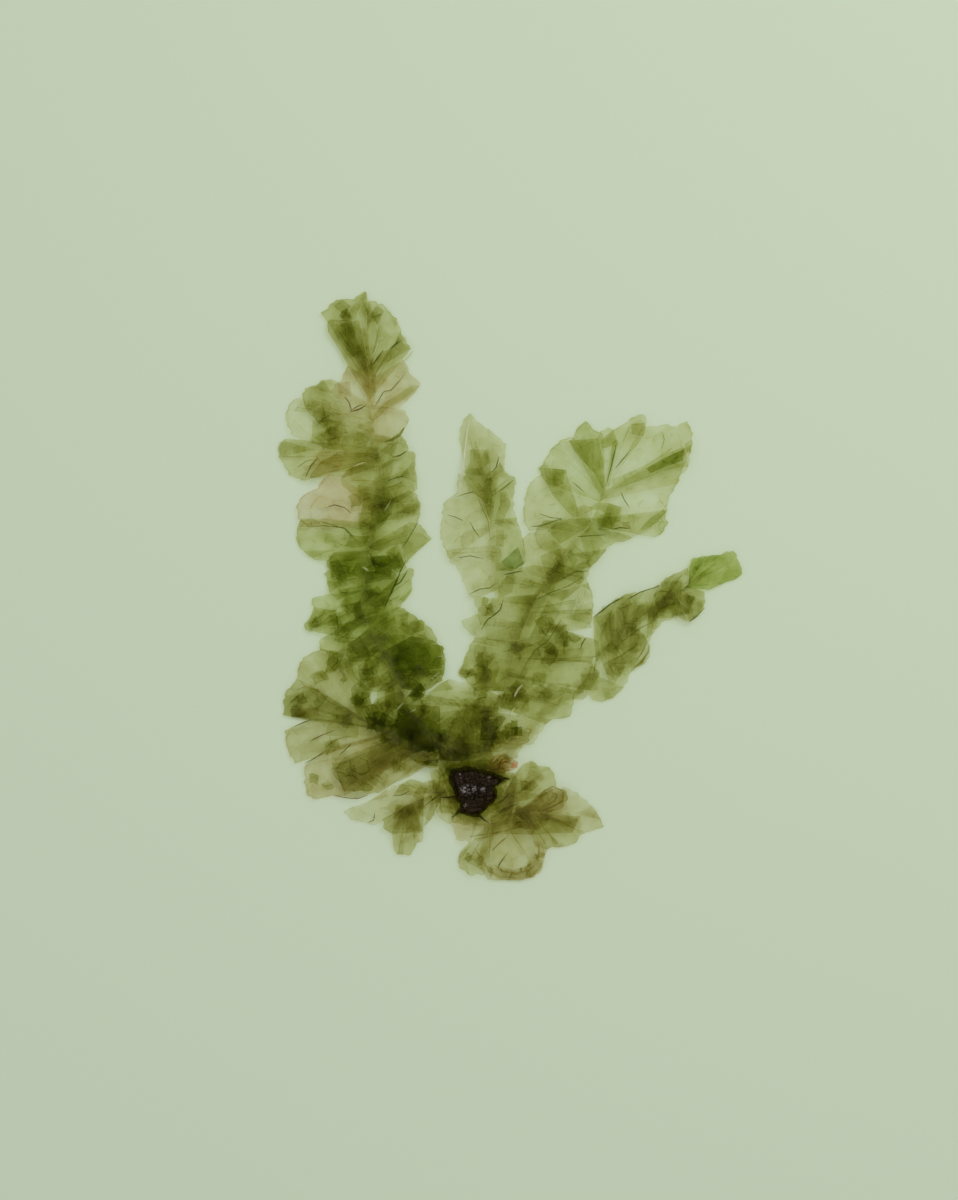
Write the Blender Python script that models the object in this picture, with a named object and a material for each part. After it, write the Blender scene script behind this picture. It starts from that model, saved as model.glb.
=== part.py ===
"""Sea lettuce, a dried thallus lying flat, seen from above.

Six fronds spread from one dark holdfast. Each frond is a narrow midline core
with thin ruffled lobes that grow from it and lie on one another. A small scrap
of red weed is caught beside the holdfast. The part lies on the plane z = 0 and
its plan is centred on the origin, with +Y towards the tip of the tall frond.
"""

import math

import bmesh
import bpy
import numpy as np

# Driving dimensions, in millimetres
MM = 0.001
PLAN_SCALE = 0.3225  # one step of the plan tables below
PLAN_CENTRE = (510.0, 585.5)  # the plan tables' point that stands at the origin
BLADE = 0.62  # a lobe's thickness, upright
GAP = 0.3  # clear height between a lobe and what it lies on
CORE_HALF_WIDTH = 1.2
CORE_TIP_HALF_WIDTH = 0.8
CORE_COVER = 0.22  # how far a core stands over its topmost root
CORE_STEP = 4.0
ROOT_ZONE = 3.8  # this near their midline the lobes of one frond grow together
ROOT_ROW = 4.6
ROOT_STAGGER = 0.11  # keeps the roots that meet there from lying in one plane
RIM_LIFT = 0.4
RIM_WAVE = 9.0  # length of one wave along a rim
LONGEST_RIM_STEP = 6.5
RIM_TOLERANCE = 0.15  # rim points nearer than this to a straight rim are left out
ROW_LENGTH = 8.5
SHORTEST_ROOT = 2.4
HOLDFAST_HEIGHT = 3.6
HOLDFAST_CENTRE = (476.0, 790.0)
SCRAP_THICKNESS = 0.9
SCRAP_CENTRE = (503.0, 762.0)

# The height field that the lobes are laid on
CELL = 0.5
FIELD_X = -82.0
FIELD_Y = -102.0
FIELD_COLUMNS = 330
FIELD_ROWS = 410

# Midlines, in plan steps, from the holdfast outwards
SPINES = {
    "left_tall": "461,762 440,745 412,715 398,680 378,645 362,612 366,575 372,535 380,500 382,470"
    " 376,440 370,408 371,372 366,340 360,312",
    "low_left": "445,774 430,757 395,735 360,720 330,705",
    "under_left": "446,789 430,795 405,805 380,808",
    "under_right": "502,797 515,805 530,812 555,815 580,820",
    "under_right_foot": "515,805 505,820 490,823 475,823 463,821",
    "right_arm": "501,769 512,748 545,712 580,685 605,650 635,622 668,598 698,578 722,567",
    "centre": "479,762 490,735 500,705 510,670 520,635 535,600 560,560 590,525 605,490",
    "centre_branch": "518,645 505,632 498,600 495,560 490,520 485,480 475,442",
}

# Each lobe: its spine, the two ends of its root and the points of its rim
FRONDS = {
    "frond_low_left": [
        ("low_left", "382,729 358,719", "378,704 371.5,704 370.5,697 370,690 364,684 356,682"
         " 351,690"),
        ("low_left", "385,712 372,690", "350,655 335,651 320,649 305,656 300,662 298,670 297,677"
         " 305,688 320,692"),
        ("low_left", "390,725 378,700", "320,690 297,678 294,684 288,689 285,695 284,704 285,711"
         " 283,715 292,717 304,719 320,722"),
        ("low_left", "395,745 380,720", "320,718 308,720 299,724 290,728 285,731 286,740 287,748"
         " 291,757 296,763 303,761 315,757"),
        ("low_left", "410,765 385,740", "325,750 305,765 305,772 305,780 306,788 308,796 316,799"
         " 326,797 333,795 345,796"),
        ("low_left", "425,768 405,752", "338,775 345,796 358,797 369,793 380,792 395,782 410,776"
         " 420,770"),
        ("low_left", "395,750 385,735", "372,790 345,790 335,768 345,756 370,750"),
    ],
    "frond_under_left": [
        ("under_left", "432,795 416,801", "435,814 429,820 421,815"),
        ("under_left", "444,790 434,794", "443,781 441,774 437,769 430,771"),
        ("under_left", "425,800 415,785", "400,783 386,789 378,795 365,803 352,807 344,811 349,818"
         " 357,821 366,822 372,825 379,823"),
        ("under_left", "430,805 415,795", "383,818 384,828 391,833 405,833 423,832 423,824"),
        ("under_left", "418,815 405,815", "392,832 393,842 394,850 398,854 411,854.5 413,850"
         " 417,843 423,840 424,832"),
        ("under_left", "455,800 435,795", "424,824 430,821 435,811"),
        ("under_left", "446,790 438,797", "436,811 441,818 446,822.5 452,823 455,816"),
        ("under_left", "446,789 436,792", "432,780 423,782 412,778 400,784 393,795"),
    ],
    "frond_under_right": [
        ("under_right", "514,805 504,799", "508,824 498,823.5 489,823 481,821"),
        ("under_right", "513,804 505,799", "518,779 513,772 510,777 509,785"),
        ("under_right", "534,813 516,806", "534,826 522,827 511,824"),
        ("under_right_foot", "490,823 474,823", "487,838 479,841 471,837"),
        ("under_right", "512,803 500,795", "513,776 520,766 531,760 540,766 550,767 555,777"
         " 556,786 545,795"),
        ("under_right", "530,805 520,800", "537,795 545,788 556,788 566,790 568,798 562,808"
         " 550,812 538,810"),
        ("under_right", "550,815 530,805", "556,790 563,786 574,791 582,797 590,804 597,812"
         " 602,821 603.5,826.5 596,829 587,832 578,832"),
        ("under_right", "545,820 520,812", "585,832 578,836 577,842 570,844 562,847 551,847"
         " 546,849 535,845"),
        ("under_right_foot", "515,815 485,822", "545,838 547,849 544,858 543,867 539,873 532,877"
         " 519,879 507,879.5 496,880 488,879 484,874 478,862"),
        ("under_right_foot", "495,825 480,824", "484,874 478,873 470,875.5 465,871 459,867"
         " 458,860 460,852 464,849 472,848"),
        ("under_right_foot", "482,824 465,822", "470,843 468,840 462,840 456,839 455,833"
         " 453,827 451,824 458,818"),
    ],
    "frond_right_arm": [
        ("right_arm", "600,665 625,635", "594,640 593,618 597,614 608,606 614,600 626,594 632,595"),
        ("right_arm", "625,632 650,612", "620,597 626,594 638,592 645,590 653,588 660,584"),
        ("right_arm", "650,615 675,598", "657,588 660,584 665,578 671,575 680,571 688,568 690,580"),
        ("right_arm", "600,675 575,690", "623,687 618,693 612,698 602,702 592,700 589,694"
         " 584,698 577,700 572,697"),
        ("right_arm", "641,617 600,670", "646,638 650,645 650,652 648,660 642,665 634,669"
         " 629,674 627,681 623,687 612,690"),
        ("right_arm", "675,600 650,615", "690,612 675,616 668,620 661,623 657,629 651,634 646,638"),
        ("right_arm", "690,590 675,600", "704,592 705,600 703,608 697,613 690,620 687,622"
         " 680,619 675,616"),
        ("right_arm", "680,592 690,575", "708,590 716,586.5 726,582 736,579 741,575 742,570"
         " 739,563 737,556 733,551 726,551.5 720,555 711,555.5 700,557 691.5,558.5 688,568"),
    ],
    "frond_centre": [
        ("centre", "481,757 487,744", "446,763 441,757 448,749"),
        ("centre", "482,756 487,744", "491,765 499,760 503,752"),
        ("centre", "499,708 490,734", "468,723 464,713 470,703"),
        ("centre", "540,592 558,563", "562,601 574,592 583,582 584,572"),
        ("centre", "593,518 562,557", "545,520 537,527 534,536 540,549"),
        ("centre", "566,553 590,525", "590,561 597,552 605,542"),
        ("centre_branch", "498,600 495,562", "512,592 515,579 512,566"),
        ("centre_branch", "496,562 491,526", "463,549 460,541 464,532"),
        ("centre_branch", "488,506 482,468", "468,487 464,479 466,470"),
        ("centre", "484,752 494,722", "452,758 446,745 448,730 456,716 465,704"),
        ("centre", "482,757 492,728", "500,751 512,749 522,745 529,741 531,728"),
        ("centre", "520,640 538,594", "487,640 484,625 487,610 492,598"),
        ("centre", "533,605 554,568", "503,602 498,588 507,575 520,568 534,565"),
        ("centre", "505,620 500,590", "469,595 474,599 476,607 478,614 480,625"),
        ("centre", "495,640 492,610", "478,614 472,616 466,618.5 460,622 465,627 469,633"
         " 475,636.5"),
        ("centre", "500,690 496,635", "475,637 471,643 467.5,652 464,660 462,667 457.5,673"
         " 464,678 468,682 475,690"),
        ("centre", "480,720 478,690", "470,682 461,682 455,680 448,679 441,683 432,690 425,698"
         " 440,705 455,706"),
        ("centre", "540,600 530,640", "588,583 592,594 593,605 592,615 591,628 580,629 571,631"),
        ("centre", "530,640 520,680", "571,632 585,637 597,640 600,655 592,658 592,667 600,672"
         " 590,690"),
        ("centre", "520,675 510,710", "575,690 573,702 571.5,710 569.5,717 560,718.5 551,719"
         " 545,724"),
        ("centre", "505,715 495,740", "551,719 545,724.5 541,731 536,737 534.5,743.5 527,744.5"
         " 521,747 514,749 505,748"),
        ("centre_branch", "497,590 494,545", "446,550 450,562 456,566 460,573 463,580 466,589"
         " 469,595 480,597"),
        ("centre_branch", "492,530 486,490", "470,478 458,474 457,494 449,498 443,505 442,518"
         " 440,530 441,539 445,548 450,560"),
        ("centre_branch", "500,570 492,520", "516,518 519,527 521,533 524,545 526,560 520,572"),
        ("centre_branch", "492,520 488,485", "519,527 513,509 513,498 515,488 516,480 515,477"
         " 510,476 504,470 500,462"),
        ("centre_branch", "485,490 480,470", "464,474 463,462 462,452 459.5,440 460,430 464,420"
         " 470,413 476,421 493,433 506,444 504.5,458 504,470"),
        ("centre", "560,545 548,580", "545,535 535,533 529,533 523,538 522,550 525,565 530,575"),
        ("centre", "570,560 555,575", "606,549 599,559 592,565.5 588,570 589,576 585,579 588,584"
         " 590,590"),
        ("centre", "600,530 590,545", "632,537 627,541 617,542 612,543.5 606,549 599,558.5"
         " 592,565 588,569"),
        ("centre", "590,520 586,532", "666,510 665,516 667.5,523 665,529 660,535 653,537.5"
         " 646,535.5 639,534"),
        ("centre", "604,492 592,520", "685,462 680,475 677,484 672,492 668,498 667,506 666,513"
         " 650,528 639,534 627,540"),
        ("centre", "603,490 600,500", "691,445 690,452 688.5,460 688,467 686,470 680,475 677,484"),
        ("centre", "605,490 600,500", "640,430 648,426 657,427 663,424 670,426 676,427 681,423"
         " 687,422 690,427 692,434 691.5,443 690,452"),
        ("centre", "605,490 602,498", "596,440 600,432 607.5,427.5 612,430 619,427 627,422"
         " 633,417 640,415 645,415 646,420 645,428 643,436"),
        ("centre", "605,490 601,499", "570,442 574,437 576,431 580,425 585,421.5 590,424 592,430"
         " 598,432 603,436"),
        ("centre", "605,490 600,502", "545,482 538.5,469 543,463 546,457 551,449 558,443"
         " 565.5,438.5 573,438 580,445"),
        ("centre", "590,525 600,502", "560,524 545,530 529,531 524,524 523,515 524,505 526,494"
         " 530,483 536,478 542,474.5 552,480"),
    ],
    "frond_left_tall": [
        ("left_tall", "412,714 398,684", "377,703 377,696 378,689 385,683 393,679"),
        ("left_tall", "382,650 368,628", "354,663 346,656 349,645"),
        ("left_tall", "364,606 368,572", "384,607 393,592 399,578 392,570"),
        ("left_tall", "380,502 382,466", "358,499 347,490 340,481 346,471 357,465"),
        ("left_tall", "377,456 374,428", "348,458 341,447 345,436"),
        ("left_tall", "379,450 376,434", "392,456 397,446 393,438"),
        ("left_tall", "456,758 426,729", "436,767 428,767 420,764 410,757 400,752 390,742 386,730"),
        ("left_tall", "425,729 400,692", "386,735 376,722 371,706 377,698"),
        ("left_tall", "398,684 378,645", "381,692 366,690 352,680 344,663"),
        ("left_tall", "458,760 428,732", "474,760 478,746 475,733 466,722 458,710"),
        ("left_tall", "430,734 404,698", "466,714 456,700 440,697 425,694 414,688"),
        ("left_tall", "372,645 362,615", "321,639 319,643 320,649 335,655 352,652"),
        ("left_tall", "361,625 363,590", "329,594 322,596 312,598 314,611 309,619 304,625"
         " 305,630 321,633 340,636"),
        ("left_tall", "364,590 366,550", "335,552 326,562 329,570 325,573 328,582 329,592"
         " 338,600"),
        ("left_tall", "368,560 366,515", "330,519 300,519 296.5,533 297,543 304,552 315,560"
         " 326,561 340,565"),
        ("left_tall", "368,520 366,480", "345,480 330,474 322,480 318,488 303,495 297,505"
         " 299,519 310,528 330,530"),
        ("left_tall", "370,480 372,455", "345,478 330,476 318,479 309,478 320,462 340,452"),
        ("left_tall", "365,465 355,435", "300,440 286,438.5 280,443 278,452 281,461 286,468"
         " 289,475 296,478 304,481 309,478 325,474"),
        ("left_tall", "355,445 345,415", "303,399 296,398 290,404 286,412 286,421 289,428"
         " 293,436 305,442"),
        ("left_tall", "366,440 360,400", "340,384 334,380 322,380 319,384.5 312,386 306,388"
         " 303,394 303,400 308,412 318,422"),
        ("left_tall", "365,410 358,380", "349,366 344,372 344,378 341,382 337,384 331,392"
         " 335,398"),
        ("left_tall", "398,690 385,650", "425,691 443,680 445.5,663 443,647 432,640 412,636"),
        ("left_tall", "385,655 372,615", "437,642 434,632 424,622 408,612 399,606 390,610"),
        ("left_tall", "375,612 372,585", "398,609 407,598 412,592 412,578 415,570 408,568"
         " 400,575"),
        ("left_tall", "372,585 374,545", "395,578 406,564 417,551 431,539 421,525 410,522"),
        ("left_tall", "376,550 380,505", "410,535 419,520 421,507 418,496 410,490"),
        ("left_tall", "380,510 384,465", "400,502 417,490 417,478 415,466 416,458 413,451"
         " 405,452"),
        ("left_tall", "382,470 380,430", "395,462 409,450 406,441 400,435 394,440"),
        ("left_tall", "378,445 371,405", "392,441 400,434 407,427 409,419 405,411 400,409"),
        ("left_tall", "371,410 370,380", "399,409 411,397 420,386 418,380 411,376 407,368"
         " 404,360"),
        ("left_tall", "371,400 370,365", "404,359 411,350 407,342 402,334 400,327 396,319"
         " 390,313 384,306"),
        ("left_tall", "370,395 366,360", "384,306 375,302 368,301 366,291 358,296 352,300"
         " 344,299 333,302 328,309 321,313 325,318"),
        ("left_tall", "369,400 362,385", "360,322 345,321 328,321 328,332 338,348 348,366"
         " 356,380"),
    ],
}

CORES = {
    "frond_low_left": ["low_left"],
    "frond_under_left": ["under_left"],
    "frond_under_right": ["under_right", "under_right_foot"],
    "frond_right_arm": ["right_arm"],
    "frond_centre": ["centre", "centre_branch"],
    "frond_left_tall": ["left_tall"],
}

HOLDFAST_OUTLINE = (
    "450,770 460,768 475,768 487,772 497,774.5 504,779.5 499,784 494,787 497,791 497,797 489,805"
    " 484,811 478,816 468,815 459,813 461,803 455,797.5 454,790 450,782"
)
SCRAP_OUTLINE = "488,765 493,755 505,752 511,757 518,761 517,767 511,770 500,769 490,770"

# One colour, roughness and metallic value for each node's material
COLOURS = {
    "holdfast": ((0.035, 0.018, 0.020), 0.35),
    "frond_low_left": ((0.160, 0.180, 0.045), 0.50),
    "frond_under_left": ((0.300, 0.330, 0.130), 0.50),
    "frond_under_right": ((0.260, 0.280, 0.090), 0.50),
    "frond_right_arm": ((0.150, 0.220, 0.040), 0.50),
    "frond_centre": ((0.150, 0.200, 0.040), 0.50),
    "frond_left_tall": ((0.120, 0.160, 0.035), 0.50),
    "red_weed_scrap": ((0.230, 0.085, 0.028), 0.55),
}


def plan(text):
    """The points of a plan table as millimetres from the part's centre, y towards the tall tip."""
    steps = np.array([pair.split(",") for pair in text.split()], float)
    x = (steps[:, 0] - PLAN_CENTRE[0]) * PLAN_SCALE
    y = (PLAN_CENTRE[1] - steps[:, 1]) * PLAN_SCALE
    return np.column_stack([x, y])


def lengths(points):
    """The distance along a line of points, from its first point to each."""
    steps = np.linalg.norm(np.diff(points, axis=0), axis=1)
    return np.concatenate([[0.0], np.cumsum(steps)])


def along(points, distance):
    """The place at each distance along a line of points."""
    run = lengths(points)
    return np.column_stack([np.interp(distance, run, points[:, i]) for i in (0, 1)])


def nearest(points, place):
    """The distance along a line of points at which it comes closest to a place."""
    start = points[:-1]
    step = np.diff(points, axis=0)
    share = ((place - start) * step).sum(axis=1) / (step**2).sum(axis=1)
    share = np.clip(share, 0.0, 1.0)
    foot = start + share[:, None] * step
    best = np.linalg.norm(foot - place, axis=1).argmin()
    return lengths(points)[best] + share[best] * np.linalg.norm(step[best])


HOLDFAST = plan(HOLDFAST_OUTLINE)
HOLDFAST_MIDDLE = plan(f"{HOLDFAST_CENTRE[0]},{HOLDFAST_CENTRE[1]}")[0]


def off_holdfast(points, clear=0.7):
    """Moves points that are nearer the holdfast than clear outwards, away from its middle."""
    arm = HOLDFAST - HOLDFAST_MIDDLE
    angle = np.arctan2(arm[:, 1], arm[:, 0])
    order = np.argsort(angle)
    reach = np.linalg.norm(arm, axis=1)
    away = points - HOLDFAST_MIDDLE
    turn = np.arctan2(away[:, 1], away[:, 0])
    limit = np.interp(turn, angle[order], reach[order], period=2 * math.pi) + clear
    radius = np.linalg.norm(away, axis=1)
    grow = np.maximum(limit / np.maximum(radius, 1e-6), 1.0)
    return HOLDFAST_MIDDLE + away * grow[:, None]


def signed_area(points):
    """Half the sum of the cross products round a closed outline: above zero if it turns left."""
    after = np.roll(points, -1, axis=0)
    return 0.5 * (points[:, 0] * after[:, 1] - points[:, 1] * after[:, 0]).sum()


def finer(points, longest):
    """The same line of points with every step longer than the limit split evenly."""
    out = [points[0]]
    for a, b in zip(points[:-1], points[1:]):
        count = max(1, math.ceil(np.linalg.norm(b - a) / longest))
        for i in range(1, count + 1):
            out.append(a + (b - a) * i / count)
    return np.array(out)


def straighter(points, tolerance):
    """The same line of points without those that lie on the straight line between two others."""
    if len(points) < 3:
        return points
    chord = points[-1] - points[0]
    offset = points - points[0]
    off = np.abs(chord[0] * offset[:, 1] - chord[1] * offset[:, 0]) / max(np.linalg.norm(chord), 1e-9)
    far = off.argmax()
    if off[far] < tolerance:
        return points[[0, -1]]
    before = straighter(points[: far + 1], tolerance)
    after = straighter(points[far:], tolerance)
    return np.vstack([before, after[1:]])


def turns(a, b, c):
    """Twice the area of each triangle a, b, c: above zero where it turns left."""
    ab, ac = b - a, c - a
    return ab[..., 0] * ac[..., 1] - ab[..., 1] * ac[..., 0]


def root_choices(first, last, total):
    """Stretches of a spine that a lobe may grow from: the given one, then shorter parts of it."""
    for part in (1.0, 0.7, 0.45, 0.25):
        for anchor in (0.5, 0.0, 1.0):
            middle = first + (last - first) * (anchor + (0.5 - anchor) * part)
            half = max(abs(last - first) * part, SHORTEST_ROOT) / 2
            middle = np.clip(middle, half, total - half)
            yield middle - half, middle + half
            yield middle + half, middle - half


def root_and_rim(spine, root_ends, rim):
    """Pairs each rim point with a root point on the spine, so that no two columns cross."""
    first, last = (nearest(spine, end) for end in root_ends)
    share = lengths(rim) / lengths(rim)[-1]
    best = None
    for ends in root_choices(first, last, lengths(spine)[-1]):
        root = along(spine, ends[0] + (ends[1] - ends[0]) * share)
        whole = np.sign(signed_area(np.vstack([root, rim[::-1]])))
        lower = turns(root[:-1], root[1:], rim[1:]) * whole
        upper = turns(root[:-1], rim[1:], rim[:-1]) * whole
        folded = -np.minimum(lower, 0).sum() - np.minimum(upper, 0).sum()
        if best is None or folded < best[0] - 0.2:
            best = (folded, root, whole)
    folded, root, whole = best
    rim = rim.copy()
    for k in range(len(rim) - 1):
        column = rim[k] - root[k]
        reach = np.linalg.norm(column)
        if turns(root[k], rim[k + 1], rim[k]) * whole < 0.12 * reach:
            column /= reach
            side = np.array([column[1], -column[0]]) * whole
            run = max((rim[k + 1] - root[k]) @ column, 0.5)
            rim[k + 1] = root[k] + column * run + side * 0.15
    return root, rim, np.minimum(turns(root[:-1], root[1:], rim[1:]) * whole, 0).sum()


def lobe_sheet(spine, root_ends, rim):
    """A lobe's points in plan, its triangles turning left, and each point's share from root to rim."""
    rim = finer(straighter(rim, RIM_TOLERANCE), LONGEST_RIM_STEP)
    root, rim, folded = root_and_rim(spine, root_ends, rim)
    reach = np.linalg.norm(rim - root, axis=1)
    near = np.minimum(ROOT_ROW / np.maximum(reach, 1e-6), 0.4)
    rows = max(1, math.ceil((reach.max() - ROOT_ROW) / ROW_LENGTH))
    beyond = np.linspace(0.0, 1.0, rows + 1)
    share = near[:, None] + (1 - near)[:, None] * beyond[None, :]
    share = np.column_stack([np.zeros(len(rim)), share])
    grid = root[:, None, :] * (1 - share)[:, :, None] + rim[:, None, :] * share[:, :, None]
    columns, across = share.shape
    number = np.arange(columns * across).reshape(columns, across)
    a, b = number[:-1, :-1].ravel(), number[1:, :-1].ravel()
    c, d = number[1:, 1:].ravel(), number[:-1, 1:].ravel()
    triangles = np.vstack([np.column_stack([a, b, c]), np.column_stack([a, c, d])])
    points = grid.reshape(-1, 2)
    if signed_area(np.vstack([root, rim[::-1]])) < 0:
        triangles = triangles[:, ::-1]
    around = np.repeat(lengths(rim), across)
    return off_holdfast(points), triangles, share.ravel(), around, folded


class Heap:
    """The height of everything laid so far, in small square cells."""

    def __init__(self):
        self.top = np.zeros((FIELD_ROWS, FIELD_COLUMNS))

    def cells(self, points):
        column = np.floor((points[..., 0] - FIELD_X) / CELL).astype(int)
        row = np.floor((points[..., 1] - FIELD_Y) / CELL).astype(int)
        return np.clip(row, 1, FIELD_ROWS - 2), np.clip(column, 1, FIELD_COLUMNS - 2)

    def near(self, points, reach):
        """Which cells lie within reach of a line of points."""
        y, x = np.mgrid[0:FIELD_ROWS, 0:FIELD_COLUMNS]
        x = FIELD_X + (x + 0.5) * CELL
        y = FIELD_Y + (y + 0.5) * CELL
        found = np.zeros(self.top.shape, bool)
        for spot in finer(points, 0.8):
            found |= (x - spot[0]) ** 2 + (y - spot[1]) ** 2 < reach**2
        return found

    def add(self, points, heights):
        row, column = self.cells(points)
        np.maximum.at(self.top, (row.ravel(), column.ravel()), heights.ravel())


def widened(top):
    """Each cell's height or that of its highest neighbour."""
    wide = top.copy()
    for up in (-1, 0, 1):
        for right in (-1, 0, 1):
            wide = np.maximum(wide, np.roll(top, (up, right), axis=(0, 1)))
    return wide


def spread(longest):
    """Shares of a triangle's three corners at evenly spaced places all over it."""
    count = max(2, math.ceil(longest / (0.8 * CELL)))
    i, j = np.meshgrid(np.arange(count + 1), np.arange(count + 1))
    keep = (i + j) <= count
    i, j = i[keep] / count, j[keep] / count
    return np.column_stack([i, j, 1 - i - j])


def drape(heap, floor, points, triangles, heights):
    """Raises the corners of a sheet until it is clear of a floor all over.

    A triangle that dips below the heap is raised at its corners, first by the
    least lift that clears its deepest place, and at last all three corners
    alike, so that nothing can be left below.
    """
    corners = points[triangles]
    longest = np.linalg.norm(corners - np.roll(corners, 1, axis=1), axis=2).max()
    weights = spread(longest)
    places = np.einsum("mk,tkd->tmd", weights, corners)
    row, column = heap.cells(places)
    needed = floor[row, column] + GAP
    heights = heights.copy()
    for turn in range(14):
        depth = needed - np.einsum("mk,tk->tm", weights, heights[triangles])
        worst = depth.argmax(axis=1)
        lift = np.maximum(depth.max(axis=1), 0.0)
        share = weights[worst]
        if turn < 12:
            share = share / (share**2).sum(axis=1)[:, None]
        else:
            share = np.ones_like(share)
        raised = np.zeros_like(heights)
        np.maximum.at(raised, triangles.ravel(), (lift[:, None] * share).ravel())
        heights += raised
    return heights


def rasterise(heap, points, triangles, heights):
    """Adds a sheet's top to the heap."""
    corners = points[triangles]
    longest = np.linalg.norm(corners - np.roll(corners, 1, axis=1), axis=2).max()
    weights = spread(longest)
    heap.add(
        np.einsum("mk,tkd->tmd", weights, corners),
        np.einsum("mk,tk->tm", weights, heights[triangles]),
    )


def closed_sheet(points, triangles, under, over):
    """Corners and faces of a closed body between two height fields on the same triangles."""
    count = len(points)
    corners = np.vstack([np.column_stack([points, over]), np.column_stack([points, under])])
    edges = np.vstack([triangles[:, [0, 1]], triangles[:, [1, 2]], triangles[:, [2, 0]]])
    known = {(a, b) for a, b in edges.tolist()}
    border = np.array([(a, b) for a, b in edges.tolist() if (b, a) not in known])
    a, b = border[:, 0], border[:, 1]
    walls = np.vstack(
        [
            np.column_stack([a + count, b + count, b]),
            np.column_stack([a + count, b, a]),
        ]
    )
    faces = np.vstack([triangles, triangles[:, ::-1] + count, walls])
    return corners, faces


def add_body(name, corners, faces, collection):
    """A Blender object from corners in millimetres, with its place in its mesh."""
    mesh = bpy.data.meshes.new(name)
    mesh.from_pydata((np.asarray(corners) * MM).tolist(), [], [list(f) for f in faces])
    mesh.update()
    body = bpy.data.objects.new(name, mesh)
    collection.objects.link(body)
    return body


def core_path(spine):
    """Stations along a spine, each with its sideways direction and half width."""
    run = lengths(spine)
    count = max(2, math.ceil(run[-1] / CORE_STEP) + 1)
    distance = np.union1d(np.linspace(0.0, run[-1], count), run)
    keep = np.concatenate([[True], np.diff(distance) > 0.8])
    keep[-1] = True
    distance = distance[keep]
    place = along(spine, distance)
    ahead = np.gradient(place, axis=0)
    ahead /= np.linalg.norm(ahead, axis=1)[:, None]
    side = np.column_stack([-ahead[:, 1], ahead[:, 0]])
    half = np.interp(distance, [0, run[-1]], [CORE_HALF_WIDTH, CORE_TIP_HALF_WIDTH])
    return place, side, half


def highest_under_core(heap, place, side, half):
    """The heap's highest cell below each stretch between two stations, with its ends."""
    wide = widened(heap.top)
    across = np.linspace(-1.0, 1.0, 7)
    forward = np.linspace(0.0, 1.0, 14)
    highest = []
    for i in range(len(place) - 1):
        left = place[i] + np.outer(across, side[i] * half[i])
        right = place[i + 1] + np.outer(across, side[i + 1] * half[i + 1])
        spots = left[None] * (1 - forward)[:, None, None] + right[None] * forward[:, None, None]
        row, column = heap.cells(spots)
        highest.append(wide[row, column].max())
    return np.array(highest)


def at_stations(stretches):
    """A height for each station that is no lower than either stretch beside it."""
    padded = np.concatenate([[stretches[0]], stretches, [stretches[-1]]])
    return np.maximum(padded[:-1], padded[1:])


def core_sheet(place, side, half):
    """A core's plan as a strip of triangles: left, middle and right at each station."""
    left = place + side * half[:, None]
    right = place - side * half[:, None]
    count = len(place)
    points = np.vstack([left, right])
    a = np.arange(count - 1)
    triangles = np.vstack(
        [
            np.column_stack([a + count, a + 1 + count, a + 1]),
            np.column_stack([a + count, a + 1, a]),
        ]
    )
    return points, triangles


def new_material(name, colour, roughness):
    material = bpy.data.materials.new(name)
    material.use_nodes = True
    shader = material.node_tree.nodes["Principled BSDF"]
    shader.inputs["Base Color"].default_value = (*colour, 1.0)
    shader.inputs["Roughness"].default_value = roughness
    shader.inputs["Metallic"].default_value = 0.0
    return material


def keep_one_body(mesh):
    """Fills the hollows that fusing sealed and drops loose scraps: only the largest skin stays."""
    skin = bmesh.new()
    skin.from_mesh(mesh)
    left = set(skin.verts)
    islands = []
    while left:
        island = {left.pop()}
        edge_of_search = list(island)
        while edge_of_search:
            corner = edge_of_search.pop()
            for edge in corner.link_edges:
                other = edge.other_vert(corner)
                if other in left:
                    left.remove(other)
                    island.add(other)
                    edge_of_search.append(other)
        islands.append(island)
    islands.sort(key=len)
    for island in islands[:-1]:
        print(f"{mesh.name}: a sealed hollow or scrap of {len(island)} corners is left out")
        bmesh.ops.delete(skin, geom=list(island), context="VERTS")
    skin.to_mesh(mesh)
    skin.free()


def join_all(body, others):
    """Fuses a collection of closed bodies into one, then removes them."""
    union = body.modifiers.new("join lobes", "BOOLEAN")
    union.operation = "UNION"
    union.operand_type = "COLLECTION"
    union.collection = others
    union.solver = "MANIFOLD"
    depsgraph = bpy.context.evaluated_depsgraph_get()
    joined = bpy.data.meshes.new_from_object(body.evaluated_get(depsgraph))
    body.modifiers.clear()
    old = body.data
    body.data = joined
    bpy.data.meshes.remove(old)
    keep_one_body(joined)
    for piece in list(others.objects):
        bpy.data.objects.remove(piece)
    bpy.data.collections.remove(others)


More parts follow.
